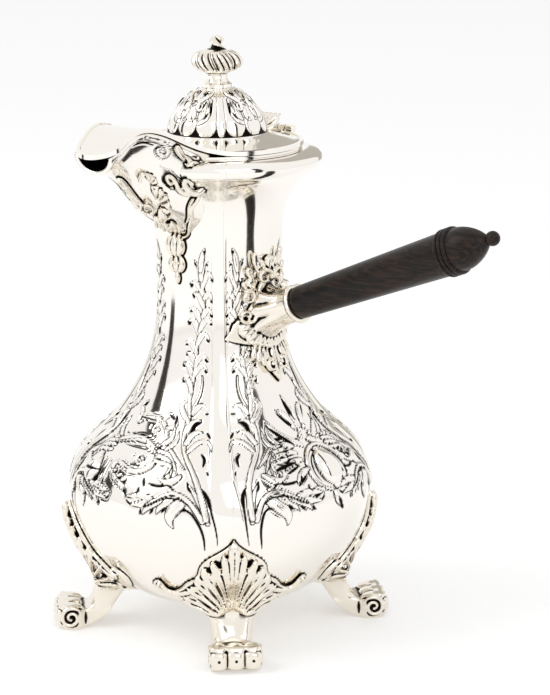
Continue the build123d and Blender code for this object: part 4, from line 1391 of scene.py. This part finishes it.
def light_world():
    """White surroundings, at full strength for the camera and in reflections."""
    world = bpy.data.worlds.new("studio")
    bpy.context.scene.world = world
    world.use_nodes = True
    tree = world.node_tree
    tree.nodes.clear()
    path = add(tree, "ShaderNodeLightPath")
    seen = path.outputs["Is Camera Ray"]
    for ray in ("Is Glossy Ray", "Is Transmission Ray"):
        either = add(tree, "ShaderNodeMath", [(0, seen), (1, path.outputs[ray])], operation="MAXIMUM")
        seen = either.outputs[0]
    strength = add(tree, "ShaderNodeMapRange", [("Value", seen)], To_Min=0.75, To_Max=1.0)
    glow = add(tree, "ShaderNodeBackground", [("Strength", strength.outputs[0])])
    glow.inputs["Color"].default_value = srgb("#FFFFFF")
    add(tree, "ShaderNodeOutputWorld", [("Surface", glow.outputs[0])])


def place_lamp(name, place, size, power):
    """Soft lamp that points at the pot's middle."""
    lamp = bpy.data.lights.new(name, "AREA")
    lamp.size = size
    lamp.energy = power
    link(name, lamp).matrix_world = aimed(place, (0, 0, 0.12), "-Z")


SENSOR = 36
FOCAL, LONG_SIDE = 2600, 695  # focal length and the frame's longer side in pixels
EYE = (24.45, -1107.87, 391.23)  # right, away and up before the turn about the pot's axis
EYE_AZIMUTH, EYE_DOWN, EYE_ROLL = 39.0, 13.55, -0.2


def place_camera():
    """Camera a little above the pot, with the spout to its left and the grip to its right."""
    camera = bpy.data.cameras.new("camera")
    camera.sensor_width = SENSOR
    camera.lens = SENSOR * FOCAL / LONG_SIDE
    camera.clip_start, camera.clip_end = 0.05, 30
    eye = link("camera", camera)
    turn = Matrix.Rotation(math.radians(EYE_AZIMUTH), 4, "Z")
    tilt = Matrix.Rotation(math.radians(90 - EYE_DOWN), 4, "X")
    roll = Matrix.Rotation(math.radians(EYE_ROLL), 4, "Z")
    eye.matrix_world = turn @ Matrix.Translation(Vector(EYE) * MM) @ (tilt @ roll)
    bpy.context.scene.camera = eye


def build_stage(paper):
    """Pale floor, white surroundings, soft lamps, dark flags and the camera."""
    bpy.context.scene.view_settings.view_transform = "Standard"
    lay_floor(paper)
    light_world()
    place_lamp("key_lamp", (-0.9, -1.3, 1.5), 1.2, 9.0)
    place_lamp("fill_lamp", (1.5, -0.7, 1.2), 1.4, 6.0)
    glossy_card("flag_right", (0.10, 0.9), (0.62, -0.06, 0.30), (0, 0, 0.18), "#151312")
    glossy_card("flag_left", (0.16, 1.0), (-0.62, -0.42, 0.30), (0, 0, 0.15), "#3A3633")
    glossy_card("flag_back", (0.5, 1.2), (-0.30, 0.9, 0.45), (0, 0, 0.15), "#BDB8B0")
    place_camera()


# ---------------------------------------------------------------- add-on
def colour_property(name, description, code):
    return FloatVectorProperty(name=name, description=description, default=srgb(code),
                               size=4, min=0, max=1, subtype="COLOR")


class PotSizes(bpy.types.PropertyGroup):
    """Sizes of the pot's raised and cast silver."""

    gauge: FloatProperty(name="Sheet Gauge", description="Thickness of the raised body's wall",
                         default=1.0 * MM, min=0.6 * MM, max=1.6 * MM, unit="LENGTH")
    strap: FloatProperty(name="Strap Rise", description="How far the straps over the feet stand out",
                         default=0.9 * MM, min=0, max=1.5 * MM, unit="LENGTH")
    flute: FloatProperty(name="Flute Rise", description="How far the flutes of the lid's dome swell",
                         default=1.0 * MM, min=0, max=1.6 * MM, unit="LENGTH")
    grip_start: FloatProperty(name="Grip Start", description="Radius of the ebony grip at its ferrule",
                              default=7.1 * MM, min=6 * MM, max=7.4 * MM, unit="LENGTH")
    grain: FloatProperty(name="Casting Grain", description="Smallest form that the castings hold",
                         default=0.42 * MM, min=0.3 * MM, max=1.0 * MM, unit="LENGTH")
    relief: FloatProperty(name="Chasing Relief", description="Share of the chasing's full relief",
                          default=1.0, min=0.2, max=1.2, subtype="FACTOR")


class PotFinishes(bpy.types.PropertyGroup):
    """Colours of the pot's metal and wood and of the paper under it."""

    silver: colour_property("Polished Silver", "Colour of the polished sheet and wire", "#F7F3EC")
    cast: colour_property("Cast Silver", "Colour of the castings", "#EFE8DC")
    # dark colour for both the oxide and the painted shade in recesses, creases and round ornaments
    oxide_and_shade: colour_property("Oxide", "Colour of the oxidised recesses", "#14100D")
    ebony: colour_property("Ebony", "Colour of the heartwood", "#0D0908")
    ebony_streak: colour_property("Ebony Streaks", "Colour of the streaks in the heartwood", "#33231B")
    paper: colour_property("Paper", "Colour of the floor", "#F4F4F4")
    swirl: FloatProperty(name="Cloth Swirls", description="Size of the swirls that polishing has left",
                         default=0.6 * MM, min=0.2 * MM, max=2 * MM, unit="LENGTH")


class POT_OT_finish_construction(bpy.types.Operator):
    """Finish the construction nodes that stay in view"""

    bl_idname = "pot.finish_construction"
    bl_label = "Finish Construction"

    def execute(self, context):
        finish_construction()
        return {"FINISHED"}


class POT_OT_raise_body(bpy.types.Operator):
    """Raise and chase the body"""

    bl_idname = "pot.raise_body"
    bl_label = "Body"

    def execute(self, context):
        raise_body(context.scene.pot_sizes)
        return {"FINISHED"}


class POT_OT_cast_feet(bpy.types.Operator):
    """Cast the four feet"""

    bl_idname = "pot.cast_feet"
    bl_label = "Feet"

    def execute(self, context):
        cast_feet(context.scene.pot_sizes)
        return {"FINISHED"}


class POT_OT_cast_socket(bpy.types.Operator):
    """Cast the handle's socket"""

    bl_idname = "pot.cast_socket"
    bl_label = "Handle Socket"

    def execute(self, context):
        cast_socket(context.scene.pot_sizes)
        return {"FINISHED"}


class POT_OT_turn_grip(bpy.types.Operator):
    """Turn the ebony grip"""

    bl_idname = "pot.turn_grip"
    bl_label = "Handle Grip"

    def execute(self, context):
        turn_grip(context.scene.pot_sizes)
        return {"FINISHED"}


class POT_OT_raise_spout(bpy.types.Operator):
    """Raise the spout"""

    bl_idname = "pot.raise_spout"
    bl_label = "Spout"

    def execute(self, context):
        raise_spout(context.scene.pot_sizes)
        return {"FINISHED"}


class POT_OT_cast_spout_ornament(bpy.types.Operator):
    """Cast the spout's borders, rosettes and husk"""

    bl_idname = "pot.cast_spout_ornament"
    bl_label = "Spout Ornament"

    def execute(self, context):
        cast_spout_ornament(context.scene.pot_sizes)
        return {"FINISHED"}


class POT_OT_raise_lid(bpy.types.Operator):
    """Flute and chase the lid's dome"""

    bl_idname = "pot.raise_lid"
    bl_label = "Lid"

    def execute(self, context):
        raise_lid(context.scene.pot_sizes)
        return {"FINISHED"}


class POT_OT_cast_thumb_leaf(bpy.types.Operator):
    """Cast the thumb leaf"""

    bl_idname = "pot.cast_thumb_leaf"
    bl_label = "Thumb Leaf"

    def execute(self, context):
        cast_thumb_leaf(context.scene.pot_sizes)
        return {"FINISHED"}


class POT_OT_cast_finial(bpy.types.Operator):
    """Cast the finial"""

    bl_idname = "pot.cast_finial"
    bl_label = "Finial"

    def execute(self, context):
        cast_finial()
        return {"FINISHED"}


class POT_OT_build_stage(bpy.types.Operator):
    """Set up the floor, lamps and camera"""

    bl_idname = "pot.build_stage"
    bl_label = "Stage"

    def execute(self, context):
        build_stage(tuple(context.scene.pot_finishes.paper))
        return {"FINISHED"}


STEPS = (
    POT_OT_finish_construction, POT_OT_raise_body, POT_OT_cast_feet, POT_OT_cast_socket,
    POT_OT_turn_grip, POT_OT_raise_spout, POT_OT_cast_spout_ornament, POT_OT_raise_lid,
    POT_OT_cast_thumb_leaf, POT_OT_cast_finial, POT_OT_build_stage,
)


class POT_PT_steps(bpy.types.Panel):
    """Steps of the pot's making"""

    bl_idname = "POT_PT_steps"
    bl_label = "Chocolate Pot"
    bl_space_type = "VIEW_3D"
    bl_region_type = "UI"
    bl_category = "Pot"

    def draw(self, context):
        for group in (context.scene.pot_sizes, context.scene.pot_finishes):
            for name in group.__annotations__:
                self.layout.prop(group, name)
        for step in STEPS:
            self.layout.operator(step.bl_idname)


CLASSES = (PotSizes, PotFinishes, *STEPS, POT_PT_steps)


def register():
    for made in CLASSES:
        bpy.utils.register_class(made)
    bpy.types.Scene.pot_sizes = PointerProperty(type=PotSizes)
    bpy.types.Scene.pot_finishes = PointerProperty(type=PotFinishes)


def unregister():
    del bpy.types.Scene.pot_finishes
    del bpy.types.Scene.pot_sizes
    for made in reversed(CLASSES):
        bpy.utils.unregister_class(made)


def main():
    register()
    for step in STEPS:
        group, name = step.bl_idname.split(".")
        getattr(getattr(bpy.ops, group), name)()


if __name__ == "__main__":
    main()
